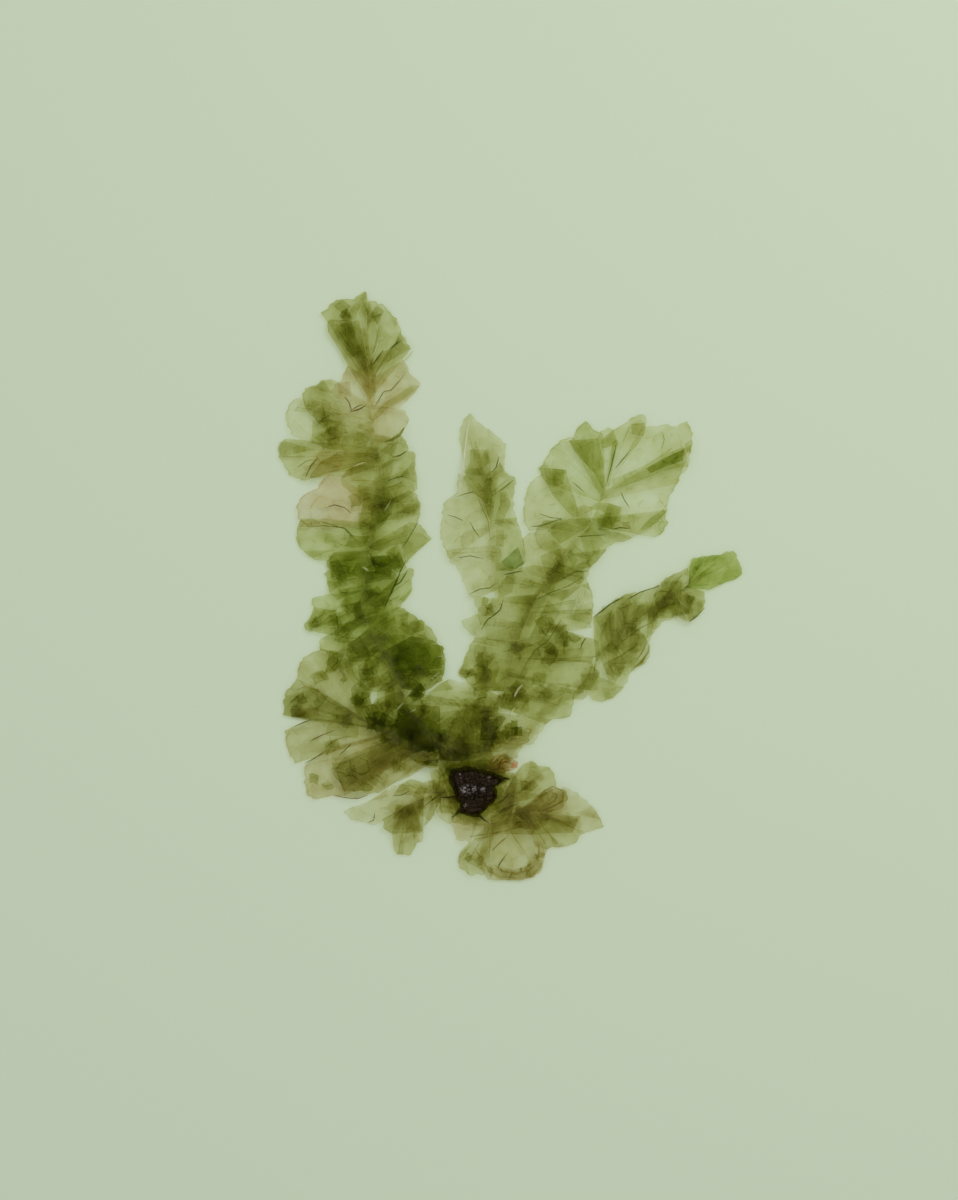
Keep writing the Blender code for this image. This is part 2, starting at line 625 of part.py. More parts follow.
def build_frond(name, heap, target):
    """Lays one frond on the heap: its cores' undersides, its lobes, then its cores' tops."""
    cores = []
    for spine_name in CORES[name]:
        place, side, half = core_path(plan(SPINES[spine_name]))
        below = highest_under_core(heap, place, side, half)
        under = at_stations(np.where(below > 0.0, below + GAP, 0.0))
        cores.append((place, side, half, under))
    for place, side, half, under in cores:
        points, triangles = core_sheet(place, side, half)
        rasterise(heap, points, triangles, np.tile(under, 2))
    root_zone = np.zeros(heap.top.shape, bool)
    for place, side, half, under in cores:
        root_zone |= heap.near(place, ROOT_ZONE)
    bare = widened(heap.top)
    pieces = bpy.data.collections.new(name + " pieces")
    bpy.context.scene.collection.children.link(pieces)
    for number, (spine_name, root_text, rim_text) in enumerate(FRONDS[name]):
        points, triangles, outward, around, folded = lobe_sheet(
            plan(SPINES[spine_name]), plan(root_text), plan(rim_text)
        )
        if folded > 0.5:
            print(f"{name} lobe {number} folds back over {folded:.1f} mm2")
        row, column = heap.cells(points)
        wave = 0.5 + 0.5 * np.sin(2 * math.pi * around / RIM_WAVE + 1.7 * number)
        floor = np.where(root_zone, bare, widened(heap.top))
        floor[root_zone] += ROOT_STAGGER * (number % 5)
        rest = np.where(root_zone, bare, heap.top)[row, column] + GAP
        rest += RIM_LIFT * wave * outward**2
        under = drape(heap, floor, points, triangles, rest)
        rasterise(heap, points, triangles, under + BLADE)
        corners, faces = closed_sheet(points, triangles, under, under + BLADE)
        add_body(f"{name} lobe {number}", corners, faces, pieces)
    body = None
    for place, side, half, under in cores:
        top = at_stations(highest_under_core(heap, place, side, half)) + CORE_COVER
        top = np.maximum(top, under + BLADE + CORE_COVER)
        points, triangles = core_sheet(place, side, half)
        corners, faces = closed_sheet(points, triangles, np.tile(under, 2), np.tile(top, 2))
        if body is None:
            body = add_body(name, corners, faces, target)
        else:
            add_body(name + " branch", corners, faces, pieces)
    for place, side, half, under in cores:
        top = at_stations(highest_under_core(heap, place, side, half)) + CORE_COVER
        points, triangles = core_sheet(place, side, half)
        rasterise(heap, points, triangles, np.tile(np.maximum(top, under + BLADE), 2))
    join_all(body, pieces)
    return body


def mound(outline, middle, rings, lift):
    """A flat-bottomed mound: rings of the outline drawn in towards its middle and raised."""
    count = len(outline)
    layers = []
    for ring, (inward, height) in enumerate(rings):
        swell = 1.0 + 0.12 * np.sin(np.arange(count) * 2.4 + ring)
        z = np.full(count, height) * (1.0 if ring == 0 else swell)
        layers.append(np.column_stack([middle + (outline - middle) * inward, z]))
    corners = np.vstack(layers + [[[*middle, lift]], [[*middle, 0.0]]])
    peak, foot = len(corners) - 2, len(corners) - 1
    i = np.arange(count)
    j = (i + 1) % count
    faces = []
    for ring in range(len(rings) - 1):
        low, high = ring * count, (ring + 1) * count
        faces += np.column_stack([low + i, low + j, high + j]).tolist()
        faces += np.column_stack([low + i, high + j, high + i]).tolist()
    last = (len(rings) - 1) * count
    faces += np.column_stack([last + i, last + j, np.full(count, peak)]).tolist()
    faces += np.column_stack([j, i, np.full(count, foot)]).tolist()
    return corners, faces


def build_holdfast(heap, target):
    """A knobbly lump on its own flat underside, with the six fronds' cores round it."""
    outline = HOLDFAST if signed_area(HOLDFAST) > 0 else HOLDFAST[::-1]
    height = HOLDFAST_HEIGHT
    rings = [
        (1.0, 0.0),
        (1.0, 0.30 * height),
        (0.90, 0.58 * height),
        (0.70, 0.80 * height),
        (0.38, 0.88 * height),
    ]
    corners, faces = mound(outline, HOLDFAST_MIDDLE, rings, height)
    body = add_body("holdfast", corners, faces, target)
    triangles = np.array([f for f in faces if len(outline) * len(rings) + 1 not in f])
    rasterise(heap, corners[:, :2], triangles, np.full(len(corners), height * 1.05))
    return body


def build_scrap(heap, target):
    """A crumpled flake of red weed, lying on the roots beside the holdfast."""
    outline = plan(SCRAP_OUTLINE)
    if signed_area(outline) < 0:
        outline = outline[::-1]
    outline = finer(outline, 1.8)
    middle = plan(f"{SCRAP_CENTRE[0]},{SCRAP_CENTRE[1]}")[0]
    shares = [1.0, 0.72, 0.42]
    points = np.vstack([middle + (outline - middle) * s for s in shares] + [middle[None]])
    count = len(outline)
    i = np.arange(count)
    j = (i + 1) % count
    triangles = []
    for ring in range(len(shares) - 1):
        outer, inner = ring * count, (ring + 1) * count
        triangles.append(np.column_stack([outer + i, outer + j, inner + j]))
        triangles.append(np.column_stack([outer + i, inner + j, inner + i]))
    inner = (len(shares) - 1) * count
    triangles.append(np.column_stack([inner + i, inner + j, np.full(count, len(points) - 1)]))
    triangles = np.vstack(triangles)
    row, column = heap.cells(points)
    floor = widened(heap.top)
    under = drape(heap, floor, points, triangles, heap.top[row, column] + GAP)
    crumple = 0.28 * np.sin(points[:, 0] * 2.1) * np.cos(points[:, 1] * 2.6)
    over = under + SCRAP_THICKNESS + np.abs(crumple) * 1.6
    corners, faces = closed_sheet(points, triangles, under, over)
    rasterise(heap, points, triangles, over)
    return add_body("red_weed_scrap", corners, faces, target)


for old in list(bpy.data.objects):
    bpy.data.objects.remove(old)

thallus = bpy.data.collections.new("sea_lettuce")
bpy.context.scene.collection.children.link(thallus)
laid = Heap()
bodies = [build_holdfast(laid, thallus)]
for frond_name in FRONDS:
    bodies.append(build_frond(frond_name, laid, thallus))
bodies.append(build_scrap(laid, thallus))

for body in bodies:
    colour, roughness = COLOURS[body.name]
    body.data.materials.clear()
    body.data.materials.append(new_material(body.name, colour, roughness))
    body.data.calc_loop_triangles()
    print(f"{body.name}: {len(body.data.loop_triangles)} triangles")
    high = max(corner.co.z for corner in body.data.vertices)
    low = min(corner.co.z for corner in body.data.vertices)
    print(f"{body.name}: from {low * 1000:.2f} to {high * 1000:.2f} mm")
print(f"the heap is {laid.top.max():.1f} mm high")
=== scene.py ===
# %% [markdown]
# # Sea lettuce, pressed and dried
#
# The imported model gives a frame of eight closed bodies: a holdfast, six fronds and a
# scrap of red weed. This script keeps their places and forms, and puts the thin
# membranes there that a dried *Ulva* really has: single layers that let the floor's
# light through, and folds where two, three or four layers turn olive and dark green.

import math

import bpy
import numpy as np
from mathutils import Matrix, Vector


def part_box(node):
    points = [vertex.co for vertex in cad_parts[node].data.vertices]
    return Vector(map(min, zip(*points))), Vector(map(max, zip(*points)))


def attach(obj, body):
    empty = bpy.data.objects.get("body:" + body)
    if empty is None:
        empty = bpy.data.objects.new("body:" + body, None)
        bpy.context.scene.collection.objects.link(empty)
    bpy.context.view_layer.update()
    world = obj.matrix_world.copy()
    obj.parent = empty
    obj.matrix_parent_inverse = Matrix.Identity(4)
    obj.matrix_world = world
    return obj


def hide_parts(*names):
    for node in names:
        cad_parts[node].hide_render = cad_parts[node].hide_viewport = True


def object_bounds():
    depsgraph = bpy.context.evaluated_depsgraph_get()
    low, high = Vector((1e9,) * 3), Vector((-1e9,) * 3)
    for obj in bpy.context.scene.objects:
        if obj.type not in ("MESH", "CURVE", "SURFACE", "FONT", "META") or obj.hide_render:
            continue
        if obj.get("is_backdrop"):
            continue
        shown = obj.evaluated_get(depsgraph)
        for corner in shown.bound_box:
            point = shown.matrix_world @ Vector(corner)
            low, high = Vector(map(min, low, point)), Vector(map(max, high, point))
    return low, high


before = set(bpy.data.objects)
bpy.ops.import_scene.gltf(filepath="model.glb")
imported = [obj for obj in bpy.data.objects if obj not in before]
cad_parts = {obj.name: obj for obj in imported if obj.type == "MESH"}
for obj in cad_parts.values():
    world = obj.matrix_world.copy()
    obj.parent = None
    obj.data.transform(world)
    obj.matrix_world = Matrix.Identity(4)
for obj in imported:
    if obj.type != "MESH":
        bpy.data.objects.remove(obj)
cad_low, cad_high = (np.array(corner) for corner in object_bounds())
print("nodes:", sorted(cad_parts))

# %% [markdown]
# ## Sizes
#
# Everything below is worked out in millimetres and turned into metres when a mesh is
# made. Most of these sizes repeat the driving dimensions of the solids, because each
# membrane lies in the middle of the thicker blade that stands for it.

# %% Sizes in millimetres
MM = 0.001
SEED = 26

# The plan: millimetres to a step, and the step that is the part's centre
PLAN_SCALE = 0.3225
PLAN_CENTRE = (510.0, 585.5)

# The solids' blades and cores
BLADE = 0.62
GAP = 0.3
CORE_HALF_WIDTH = 1.2
CORE_TIP_HALF_WIDTH = 0.8
CORE_COVER = 0.22
CORE_STEP = 4.0

# Roots and rims of the lobes
ROOT_ZONE = 3.8
ROOT_ROW = 4.6
ROOT_STAGGER = 0.11
SHORTEST_ROOT = 2.4
ROW_LENGTH = 8.5
RIM_LIFT = 0.4
RIM_WAVE = 9.0
RIM_TOLERANCE = 0.15
LONGEST_RIM_STEP = 6.5

# The holdfast and the scrap of red weed; their middles are in plan steps
HOLDFAST_HEIGHT = 3.6
HOLDFAST_CENTRE = (476.0, 790.0)
SCRAP_CENTRE = (503.0, 762.0)

# The cells of the height field
CELL = 0.5
FIELD_X = -82.0
FIELD_Y = -102.0
FIELD_COLUMNS = 330
FIELD_ROWS = 410

# The membranes: a lobe's thickness, that of a crease, and the grid's step
MEMBRANE = 0.09
CREASE_THICKNESS = 0.06
MEMBRANE_STEP = 0.9
print(f"one step of the plan is {PLAN_SCALE} mm, a blade {BLADE} mm, a membrane {MEMBRANE} mm")

# %% [markdown]
# ## Midlines and lobes
#
# A frond is a ribbon whose edge grew faster than its middle. Pressed flat, the
# surplus edge fell into lobes to both sides of a midline. The tables are in steps of a
# plan that `plan` turns into millimetres.

# %% Table of midlines, from the holdfast outwards
SPINES = {
    "left_tall": "461,762 440,745 412,715 398,680 378,645 362,612 366,575 372,535 380,500 382,470"
    " 376,440 370,408 371,372 366,340 360,312",
    "low_left": "445,774 430,757 395,735 360,720 330,705",
    "under_left": "446,789 430,795 405,805 380,808",
    "under_right": "502,797 515,805 530,812 555,815 580,820",
    "under_right_foot": "515,805 505,820 490,823 475,823 463,821",
    "right_arm": "501,769 512,748 545,712 580,685 605,650 635,622 668,598 698,578 722,567",
    "centre": "479,762 490,735 500,705 510,670 520,635 535,600 560,560 590,525 605,490",
    "centre_branch": "518,645 505,632 498,600 495,560 490,520 485,480 475,442",
}

print(len(SPINES), "midlines")

# %% [markdown]
# ### The lobes, frond by frond
#
# Each row names its midline, the two ends of the stretch that the lobe grows from, and
# the points of its rim, because the rim is what can be seen of a lobe. The first lobes
# of a frond lie below, and close the places between the others.

# %% Table of lobes
FRONDS = {
    "frond_low_left": [
        ("low_left", "382,729 358,719", "378,704 371.5,704 370.5,697 370,690 364,684 356,682 351,690"),
        ("low_left", "385,712 372,690", "350,655 335,651 320,649 305,656 300,662 298,670 297,677 305,688"
         " 320,692"),
        ("low_left", "390,725 378,700", "320,690 297,678 294,684 288,689 285,695 284,704 285,711 283,715"
         " 292,717 304,719 320,722"),
        ("low_left", "395,745 380,720", "320,718 308,720 299,724 290,728 285,731 286,740 287,748 291,757"
         " 296,763 303,761 315,757"),
        ("low_left", "410,765 385,740", "325,750 305,765 305,772 305,780 306,788 308,796 316,799 326,797"
         " 333,795 345,796"),
        ("low_left", "425,768 405,752", "338,775 345,796 358,797 369,793 380,792 395,782 410,776 420,770"),
        ("low_left", "395,750 385,735", "372,790 345,790 335,768 345,756 370,750"),
    ],
    "frond_under_left": [
        ("under_left", "432,795 416,801", "435,814 429,820 421,815"),
        ("under_left", "444,790 434,794", "443,781 441,774 437,769 430,771"),
        ("under_left", "425,800 415,785", "400,783 386,789 378,795 365,803 352,807 344,811 349,818 357,821"
         " 366,822 372,825 379,823"),
        ("under_left", "430,805 415,795", "383,818 384,828 391,833 405,833 423,832 423,824"),
        ("under_left", "418,815 405,815", "392,832 393,842 394,850 398,854 411,854.5 413,850 417,843"
         " 423,840 424,832"),
        ("under_left", "455,800 435,795", "424,824 430,821 435,811"),
        ("under_left", "446,790 438,797", "436,811 441,818 446,822.5 452,823 455,816"),
        ("under_left", "446,789 436,792", "432,780 423,782 412,778 400,784 393,795"),
    ],
    "frond_under_right": [
        ("under_right", "514,805 504,799", "508,824 498,823.5 489,823 481,821"),
        ("under_right", "513,804 505,799", "518,779 513,772 510,777 509,785"),
        ("under_right", "534,813 516,806", "534,826 522,827 511,824"),
        ("under_right_foot", "490,823 474,823", "487,838 479,841 471,837"),
        ("under_right", "512,803 500,795", "513,776 520,766 531,760 540,766 550,767 555,777 556,786"
         " 545,795"),
        ("under_right", "530,805 520,800", "537,795 545,788 556,788 566,790 568,798 562,808 550,812"
         " 538,810"),
        ("under_right", "550,815 530,805", "556,790 563,786 574,791 582,797 590,804 597,812 602,821"
         " 603.5,826.5 596,829 587,832 578,832"),
        ("under_right", "545,820 520,812", "585,832 578,836 577,842 570,844 562,847 551,847 546,849"
         " 535,845"),
        ("under_right_foot", "515,815 485,822", "545,838 547,849 544,858 543,867 539,873 532,877 519,879"
         " 507,879.5 496,880 488,879 484,874 478,862"),
        ("under_right_foot", "495,825 480,824", "484,874 478,873 470,875.5 465,871 459,867 458,860 460,852"
         " 464,849 472,848"),
        ("under_right_foot", "482,824 465,822", "470,843 468,840 462,840 456,839 455,833 453,827 451,824"
         " 458,818"),
    ],
    "frond_right_arm": [
        ("right_arm", "600,665 625,635", "594,640 593,618 597,614 608,606 614,600 626,594 632,595"),
        ("right_arm", "625,632 650,612", "620,597 626,594 638,592 645,590 653,588 660,584"),
        ("right_arm", "650,615 675,598", "657,588 660,584 665,578 671,575 680,571 688,568 690,580"),
        ("right_arm", "600,675 575,690", "623,687 618,693 612,698 602,702 592,700 589,694 584,698 577,700"
         " 572,697"),
        ("right_arm", "641,617 600,670", "646,638 650,645 650,652 648,660 642,665 634,669 629,674 627,681"
         " 623,687 612,690"),
        ("right_arm", "675,600 650,615", "690,612 675,616 668,620 661,623 657,629 651,634 646,638"),
        ("right_arm", "690,590 675,600", "704,592 705,600 703,608 697,613 690,620 687,622 680,619"
         " 675,616"),
        ("right_arm", "680,592 690,575", "708,590 716,586.5 726,582 736,579 741,575 742,570 739,563"
         " 737,556 733,551 726,551.5 720,555 711,555.5 700,557 691.5,558.5 688,568"),
    ],
    "frond_centre": [
        ("centre", "481,757 487,744", "446,763 441,757 448,749"),
        ("centre", "482,756 487,744", "491,765 499,760 503,752"),
        ("centre", "499,708 490,734", "468,723 464,713 470,703"),
        ("centre", "540,592 558,563", "562,601 574,592 583,582 584,572"),
        ("centre", "593,518 562,557", "545,520 537,527 534,536 540,549"),
        ("centre", "566,553 590,525", "590,561 597,552 605,542"),
        ("centre_branch", "498,600 495,562", "512,592 515,579 512,566"),
        ("centre_branch", "496,562 491,526", "463,549 460,541 464,532"),
        ("centre_branch", "488,506 482,468", "468,487 464,479 466,470"),
        ("centre", "484,752 494,722", "452,758 446,745 448,730 456,716 465,704"),
        ("centre", "482,757 492,728", "500,751 512,749 522,745 529,741 531,728"),
        ("centre", "520,640 538,594", "487,640 484,625 487,610 492,598"),
        ("centre", "533,605 554,568", "503,602 498,588 507,575 520,568 534,565"),
        ("centre", "505,620 500,590", "469,595 474,599 476,607 478,614 480,625"),
        ("centre", "495,640 492,610", "478,614 472,616 466,618.5 460,622 465,627 469,633 475,636.5"),
        ("centre", "500,690 496,635", "475,637 471,643 467.5,652 464,660 462,667 457.5,673 464,678 468,682"
         " 475,690"),
        ("centre", "480,720 478,690", "470,682 461,682 455,680 448,679 441,683 432,690 425,698 440,705"
         " 455,706"),
        ("centre", "540,600 530,640", "588,583 592,594 593,605 592,615 591,628 580,629 571,631"),
        ("centre", "530,640 520,680", "571,632 585,637 597,640 600,655 592,658 592,667 600,672 590,690"),
        ("centre", "520,675 510,710", "575,690 573,702 571.5,710 569.5,717 560,718.5 551,719 545,724"),
        ("centre", "505,715 495,740", "551,719 545,724.5 541,731 536,737 534.5,743.5 527,744.5 521,747"
         " 514,749 505,748"),
        ("centre_branch", "497,590 494,545", "446,550 450,562 456,566 460,573 463,580 466,589 469,595"
         " 480,597"),
        ("centre_branch", "492,530 486,490", "470,478 458,474 457,494 449,498 443,505 442,518 440,530"
         " 441,539 445,548 450,560"),
        ("centre_branch", "500,570 492,520", "516,518 519,527 521,533 524,545 526,560 520,572"),
        ("centre_branch", "492,520 488,485", "519,527 513,509 513,498 515,488 516,480 515,477 510,476"
         " 504,470 500,462"),
        ("centre_branch", "485,490 480,470", "464,474 463,462 462,452 459.5,440 460,430 464,420 470,413"
         " 476,421 493,433 506,444 504.5,458 504,470"),
        ("centre", "560,545 548,580", "545,535 535,533 529,533 523,538 522,550 525,565 530,575"),
        ("centre", "570,560 555,575", "606,549 599,559 592,565.5 588,570 589,576 585,579 588,584 590,590"),
        ("centre", "600,530 590,545", "632,537 627,541 617,542 612,543.5 606,549 599,558.5 592,565"
         " 588,569"),
        ("centre", "590,520 586,532", "666,510 665,516 667.5,523 665,529 660,535 653,537.5 646,535.5"
         " 639,534"),
        ("centre", "604,492 592,520", "685,462 680,475 677,484 672,492 668,498 667,506 666,513 650,528"
         " 639,534 627,540"),
        ("centre", "603,490 600,500", "691,445 690,452 688.5,460 688,467 686,470 680,475 677,484"),
        ("centre", "605,490 600,500", "640,430 648,426 657,427 663,424 670,426 676,427 681,423 687,422"
         " 690,427 692,434 691.5,443 690,452"),
        ("centre", "605,490 602,498", "596,440 600,432 607.5,427.5 612,430 619,427 627,422 633,417 640,415"
         " 645,415 646,420 645,428 643,436"),
        ("centre", "605,490 601,499", "570,442 574,437 576,431 580,425 585,421.5 590,424 592,430 598,432"
         " 603,436"),
        ("centre", "605,490 600,502", "545,482 538.5,469 543,463 546,457 551,449 558,443 565.5,438.5"
         " 573,438 580,445"),
        ("centre", "590,525 600,502", "560,524 545,530 529,531 524,524 523,515 524,505 526,494 530,483"
         " 536,478 542,474.5 552,480"),
    ],
    "frond_left_tall": [
        ("left_tall", "412,714 398,684", "377,703 377,696 378,689 385,683 393,679"),
        ("left_tall", "382,650 368,628", "354,663 346,656 349,645"),
        ("left_tall", "364,606 368,572", "384,607 393,592 399,578 392,570"),
        ("left_tall", "380,502 382,466", "358,499 347,490 340,481 346,471 357,465"),
        ("left_tall", "377,456 374,428", "348,458 341,447 345,436"),
        ("left_tall", "379,450 376,434", "392,456 397,446 393,438"),
        ("left_tall", "456,758 426,729", "436,767 428,767 420,764 410,757 400,752 390,742 386,730"),
        ("left_tall", "425,729 400,692", "386,735 376,722 371,706 377,698"),
        ("left_tall", "398,684 378,645", "381,692 366,690 352,680 344,663"),
        ("left_tall", "458,760 428,732", "474,760 478,746 475,733 466,722 458,710"),
        ("left_tall", "430,734 404,698", "466,714 456,700 440,697 425,694 414,688"),
        ("left_tall", "372,645 362,615", "321,639 319,643 320,649 335,655 352,652"),
        ("left_tall", "361,625 363,590", "329,594 322,596 312,598 314,611 309,619 304,625 305,630 321,633"
         " 340,636"),
        ("left_tall", "364,590 366,550", "335,552 326,562 329,570 325,573 328,582 329,592 338,600"),
        ("left_tall", "368,560 366,515", "330,519 300,519 296.5,533 297,543 304,552 315,560 326,561"
         " 340,565"),
        ("left_tall", "368,520 366,480", "345,480 330,474 322,480 318,488 303,495 297,505 299,519 310,528"
         " 330,530"),
        ("left_tall", "370,480 372,455", "345,478 330,476 318,479 309,478 320,462 340,452"),
        ("left_tall", "365,465 355,435", "300,440 286,438.5 280,443 278,452 281,461 286,468 289,475"
         " 296,478 304,481 309,478 325,474"),
        ("left_tall", "355,445 345,415", "303,399 296,398 290,404 286,412 286,421 289,428 293,436"
         " 305,442"),
        ("left_tall", "366,440 360,400", "340,384 334,380 322,380 319,384.5 312,386 306,388 303,394"
         " 303,400 308,412 318,422"),
        ("left_tall", "365,410 358,380", "349,366 344,372 344,378 341,382 337,384 331,392 335,398"),
        ("left_tall", "398,690 385,650", "425,691 443,680 445.5,663 443,647 432,640 412,636"),
        ("left_tall", "385,655 372,615", "437,642 434,632 424,622 408,612 399,606 390,610"),
        ("left_tall", "375,612 372,585", "398,609 407,598 412,592 412,578 415,570 408,568 400,575"),
        ("left_tall", "372,585 374,545", "395,578 406,564 417,551 431,539 421,525 410,522"),
        ("left_tall", "376,550 380,505", "410,535 419,520 421,507 418,496 410,490"),
        ("left_tall", "380,510 384,465", "400,502 417,490 417,478 415,466 416,458 413,451 405,452"),
        ("left_tall", "382,470 380,430", "395,462 409,450 406,441 400,435 394,440"),
        ("left_tall", "378,445 371,405", "392,441 400,434 407,427 409,419 405,411 400,409"),
        ("left_tall", "371,410 370,380", "399,409 411,397 420,386 418,380 411,376 407,368 404,360"),
        ("left_tall", "371,400 370,365", "404,359 411,350 407,342 402,334 400,327 396,319 390,313"
         " 384,306"),
        ("left_tall", "370,395 366,360", "384,306 375,302 368,301 366,291 358,296 352,300 344,299 333,302"
         " 328,309 321,313 325,318"),
        ("left_tall", "369,400 362,385", "360,322 345,321 328,321 328,332 338,348 348,366 356,380"),
    ],
}

print(sum(len(rows) for rows in FRONDS.values()), "lobes in", len(FRONDS), "fronds")

# %% [markdown]
# ### Cores and outlines
#
# Which midlines each frond has, and the outlines of the two pieces that aren't fronds.

# %% Cores, holdfast and scrap
CORES = {
    "frond_low_left": ["low_left"],
    "frond_under_left": ["under_left"],
    "frond_under_right": ["under_right", "under_right_foot"],
    "frond_right_arm": ["right_arm"],
    "frond_centre": ["centre", "centre_branch"],
    "frond_left_tall": ["left_tall"],
}

HOLDFAST_OUTLINE = (
    "450,770 460,768 475,768 487,772 497,774.5 504,779.5 499,784 494,787 497,791 497,797 489,805"
    " 484,811 478,816 468,815 459,813 461,803 455,797.5 454,790 450,782"
)
SCRAP_OUTLINE = "488,765 493,755 505,752 511,757 518,761 517,767 511,770 500,769 490,770"
print(len(HOLDFAST_OUTLINE.split()), "places round the holdfast")

# %% [markdown]
# ## Tones
#
# What a single layer leaves of the light, seen from above, in red, green and blue.
# Light goes down through the layer and back up, and each membrane has two faces, so a
# face takes the fourth root. Each lobe has a tone and a number of layers, in the order
# of the lobes' table: its own crumpled folds count as layers too.

# %% Tones and layers
TONES = {
    "g": (0.725, 0.73, 0.44),
    "p": (0.79, 0.78, 0.54),
    "b": (0.77, 0.72, 0.47),
    "k": (0.80, 0.71, 0.51),
    "h": (0.75, 0.73, 0.47),
    "o": (0.685, 0.66, 0.36),
    "d": (0.62, 0.62, 0.30),
    "t": (0.68, 0.73, 0.365),
    "v": (0.58, 0.61, 0.25),
    "n": (0.62, 0.54, 0.28),
    "u": (0.60, 0.68, 0.40),
    "r": (0.70, 0.59, 0.34),
    "s": (0.60, 0.44, 0.26),
    "q": (0.88, 0.60, 0.48),
}
LOOKS = {
    "frond_low_left": "g1.6 h1.4 d1.4 h1.5 b1.4 h1.5 d1.1",
    "frond_under_left": "g1.2 g1.4 p1.0 g2.0 g1.3 g1.2 g1.2 g1.4",
    "frond_under_right": "g1.6 g1.4 g1.2 g1.0 g1.4 o1.6 p1.3 g1.4 p1.5 g1.2 b1.2",
    "frond_right_arm": "g1.5 g1.2 g1.4 g1.1 g1.2 g1.4 g1.5 t2.1",
    "frond_centre": "g1.8 g1.4 g1.3 g1.4 g1.1 g1.2 g1.0 p0.9 g1.0"
    " g2.0 o1.4 g1.3 g1.3 g1.3 g1.3 g2.0 g1.2 g1.2 g1.5 g1.6 p1.2 p1.2 p1.2 g1.2"
    " g1.2 p1.2 p1.1 g1.5 g1.3 g1.4 p1.0 p1.0 p0.9 p1.1 g1.5 g1.2 p1.1",
    "frond_left_tall": "g1.6 g1.6 g1.8 g1.6 g1.4 g1.2"
    " g2.0 g2.0 g1.4 g2.0 g1.6 g1.4 g1.5 g1.5 g1.2 k0.9 g1.4 g1.4 p0.7 g1.5 b1.2"
    " v2.2 g2.0 g1.6 g1.4 g1.5 g1.5 g1.2 b1.0 b1.0 g1.4 g1.4 g1.8",
}
print(len(TONES), "tones")

# %% [markdown]
# ## Lines in plan
#
# Everything that is read from above is a line of places: a midline, a rim, a crease.
# These helpers turn a row of a table into millimetres, measure along it, and find places
# on it.

# %% Functions for lines


def plan(text):
    """The points of a plan table as millimetres from the part's centre, y towards the tall tip."""
    steps = np.array([pair.split(",") for pair in text.split()], float)
    x = (steps[:, 0] - PLAN_CENTRE[0]) * PLAN_SCALE
    y = (PLAN_CENTRE[1] - steps[:, 1]) * PLAN_SCALE
    return np.column_stack([x, y])


def lengths(points):
    """The distance along a line of points, from its first point to each."""
    steps = np.linalg.norm(np.diff(points, axis=0), axis=1)
    return np.concatenate([[0.0], np.cumsum(steps)])


def along(points, distance):
    """The place at each distance along a line of points."""
    run = lengths(points)
    return np.column_stack([np.interp(distance, run, points[:, i]) for i in (0, 1)])


def nearest(points, place):
    """The distance along a line of points at which it comes closest to a place."""
    start = points[:-1]
    step = np.diff(points, axis=0)
    share = ((place - start) * step).sum(axis=1) / (step**2).sum(axis=1)
    share = np.clip(share, 0.0, 1.0)
    foot = start + share[:, None] * step
    best = np.linalg.norm(foot - place, axis=1).argmin()
    return lengths(points)[best] + share[best] * np.linalg.norm(step[best])


print(f"the tall midline is {lengths(plan(SPINES['left_tall']))[-1]:.0f} mm long")

# %% [markdown]
# ## Round the holdfast
#
# The fronds grow out of the holdfast's foot, and none of them runs through it. Every
# place that would come too near is pushed straight outwards from its middle.

# %% Keep clear of the holdfast
HOLDFAST = plan(HOLDFAST_OUTLINE)
HOLDFAST_MIDDLE = plan(f"{HOLDFAST_CENTRE[0]},{HOLDFAST_CENTRE[1]}")[0]


def holdfast_limit(turn):
    """How far the holdfast's outline is from its middle in each direction."""
    arm = HOLDFAST - HOLDFAST_MIDDLE
    angle = np.arctan2(arm[:, 1], arm[:, 0])
    order = np.argsort(angle)
    return np.interp(turn, angle[order], np.linalg.norm(arm, axis=1)[order], period=2 * math.pi)


def off_holdfast(points, clear=0.7):
    """Moves points that are nearer the holdfast than clear outwards, away from its middle."""
    away = points - HOLDFAST_MIDDLE
    limit = holdfast_limit(np.arctan2(away[:, 1], away[:, 0])) + clear
    radius = np.linalg.norm(away, axis=1)
    grow = np.maximum(limit / np.maximum(radius, 1e-6), 1.0)
    return HOLDFAST_MIDDLE + away * grow[:, None]


print(f"the holdfast reaches {holdfast_limit(np.linspace(-3, 3, 60)).max():.1f} mm from its middle")

# %% [markdown]
# ## How a lobe is ruled
#
# A lobe is a ruled sheet: straight columns join evenly spaced places on a stretch of the
# midline with evenly spaced places on the rim. That is how the tissue grew, outwards from
# the midline, and such a sheet can be laid flat without a fold. Where the columns of a
# lobe would cross, a shorter stretch of the midline or the other direction is taken.

# %% Functions for outlines


def signed_area(points):
    """Half the sum of the cross products round a closed outline: above zero if it turns left."""
    after = np.roll(points, -1, axis=0)
    return 0.5 * (points[:, 0] * after[:, 1] - points[:, 1] * after[:, 0]).sum()


def finer(points, longest):
    """The same line of points with every step longer than the limit split evenly."""
    out = [points[0]]
    for a, b in zip(points[:-1], points[1:]):
        count = max(1, math.ceil(np.linalg.norm(b - a) / longest))
        for i in range(1, count + 1):
            out.append(a + (b - a) * i / count)
    return np.array(out)


def straighter(points, tolerance):
    """The same line of points without those that lie on the straight line between two others."""
    if len(points) < 3:
        return points
    chord = points[-1] - points[0]
    offset = points - points[0]
    off = np.abs(chord[0] * offset[:, 1] - chord[1] * offset[:, 0]) / max(np.linalg.norm(chord), 1e-9)
    far = off.argmax()
    if off[far] < tolerance:
        return points[[0, -1]]
    before = straighter(points[: far + 1], tolerance)
    after = straighter(points[far:], tolerance)
    return np.vstack([before, after[1:]])


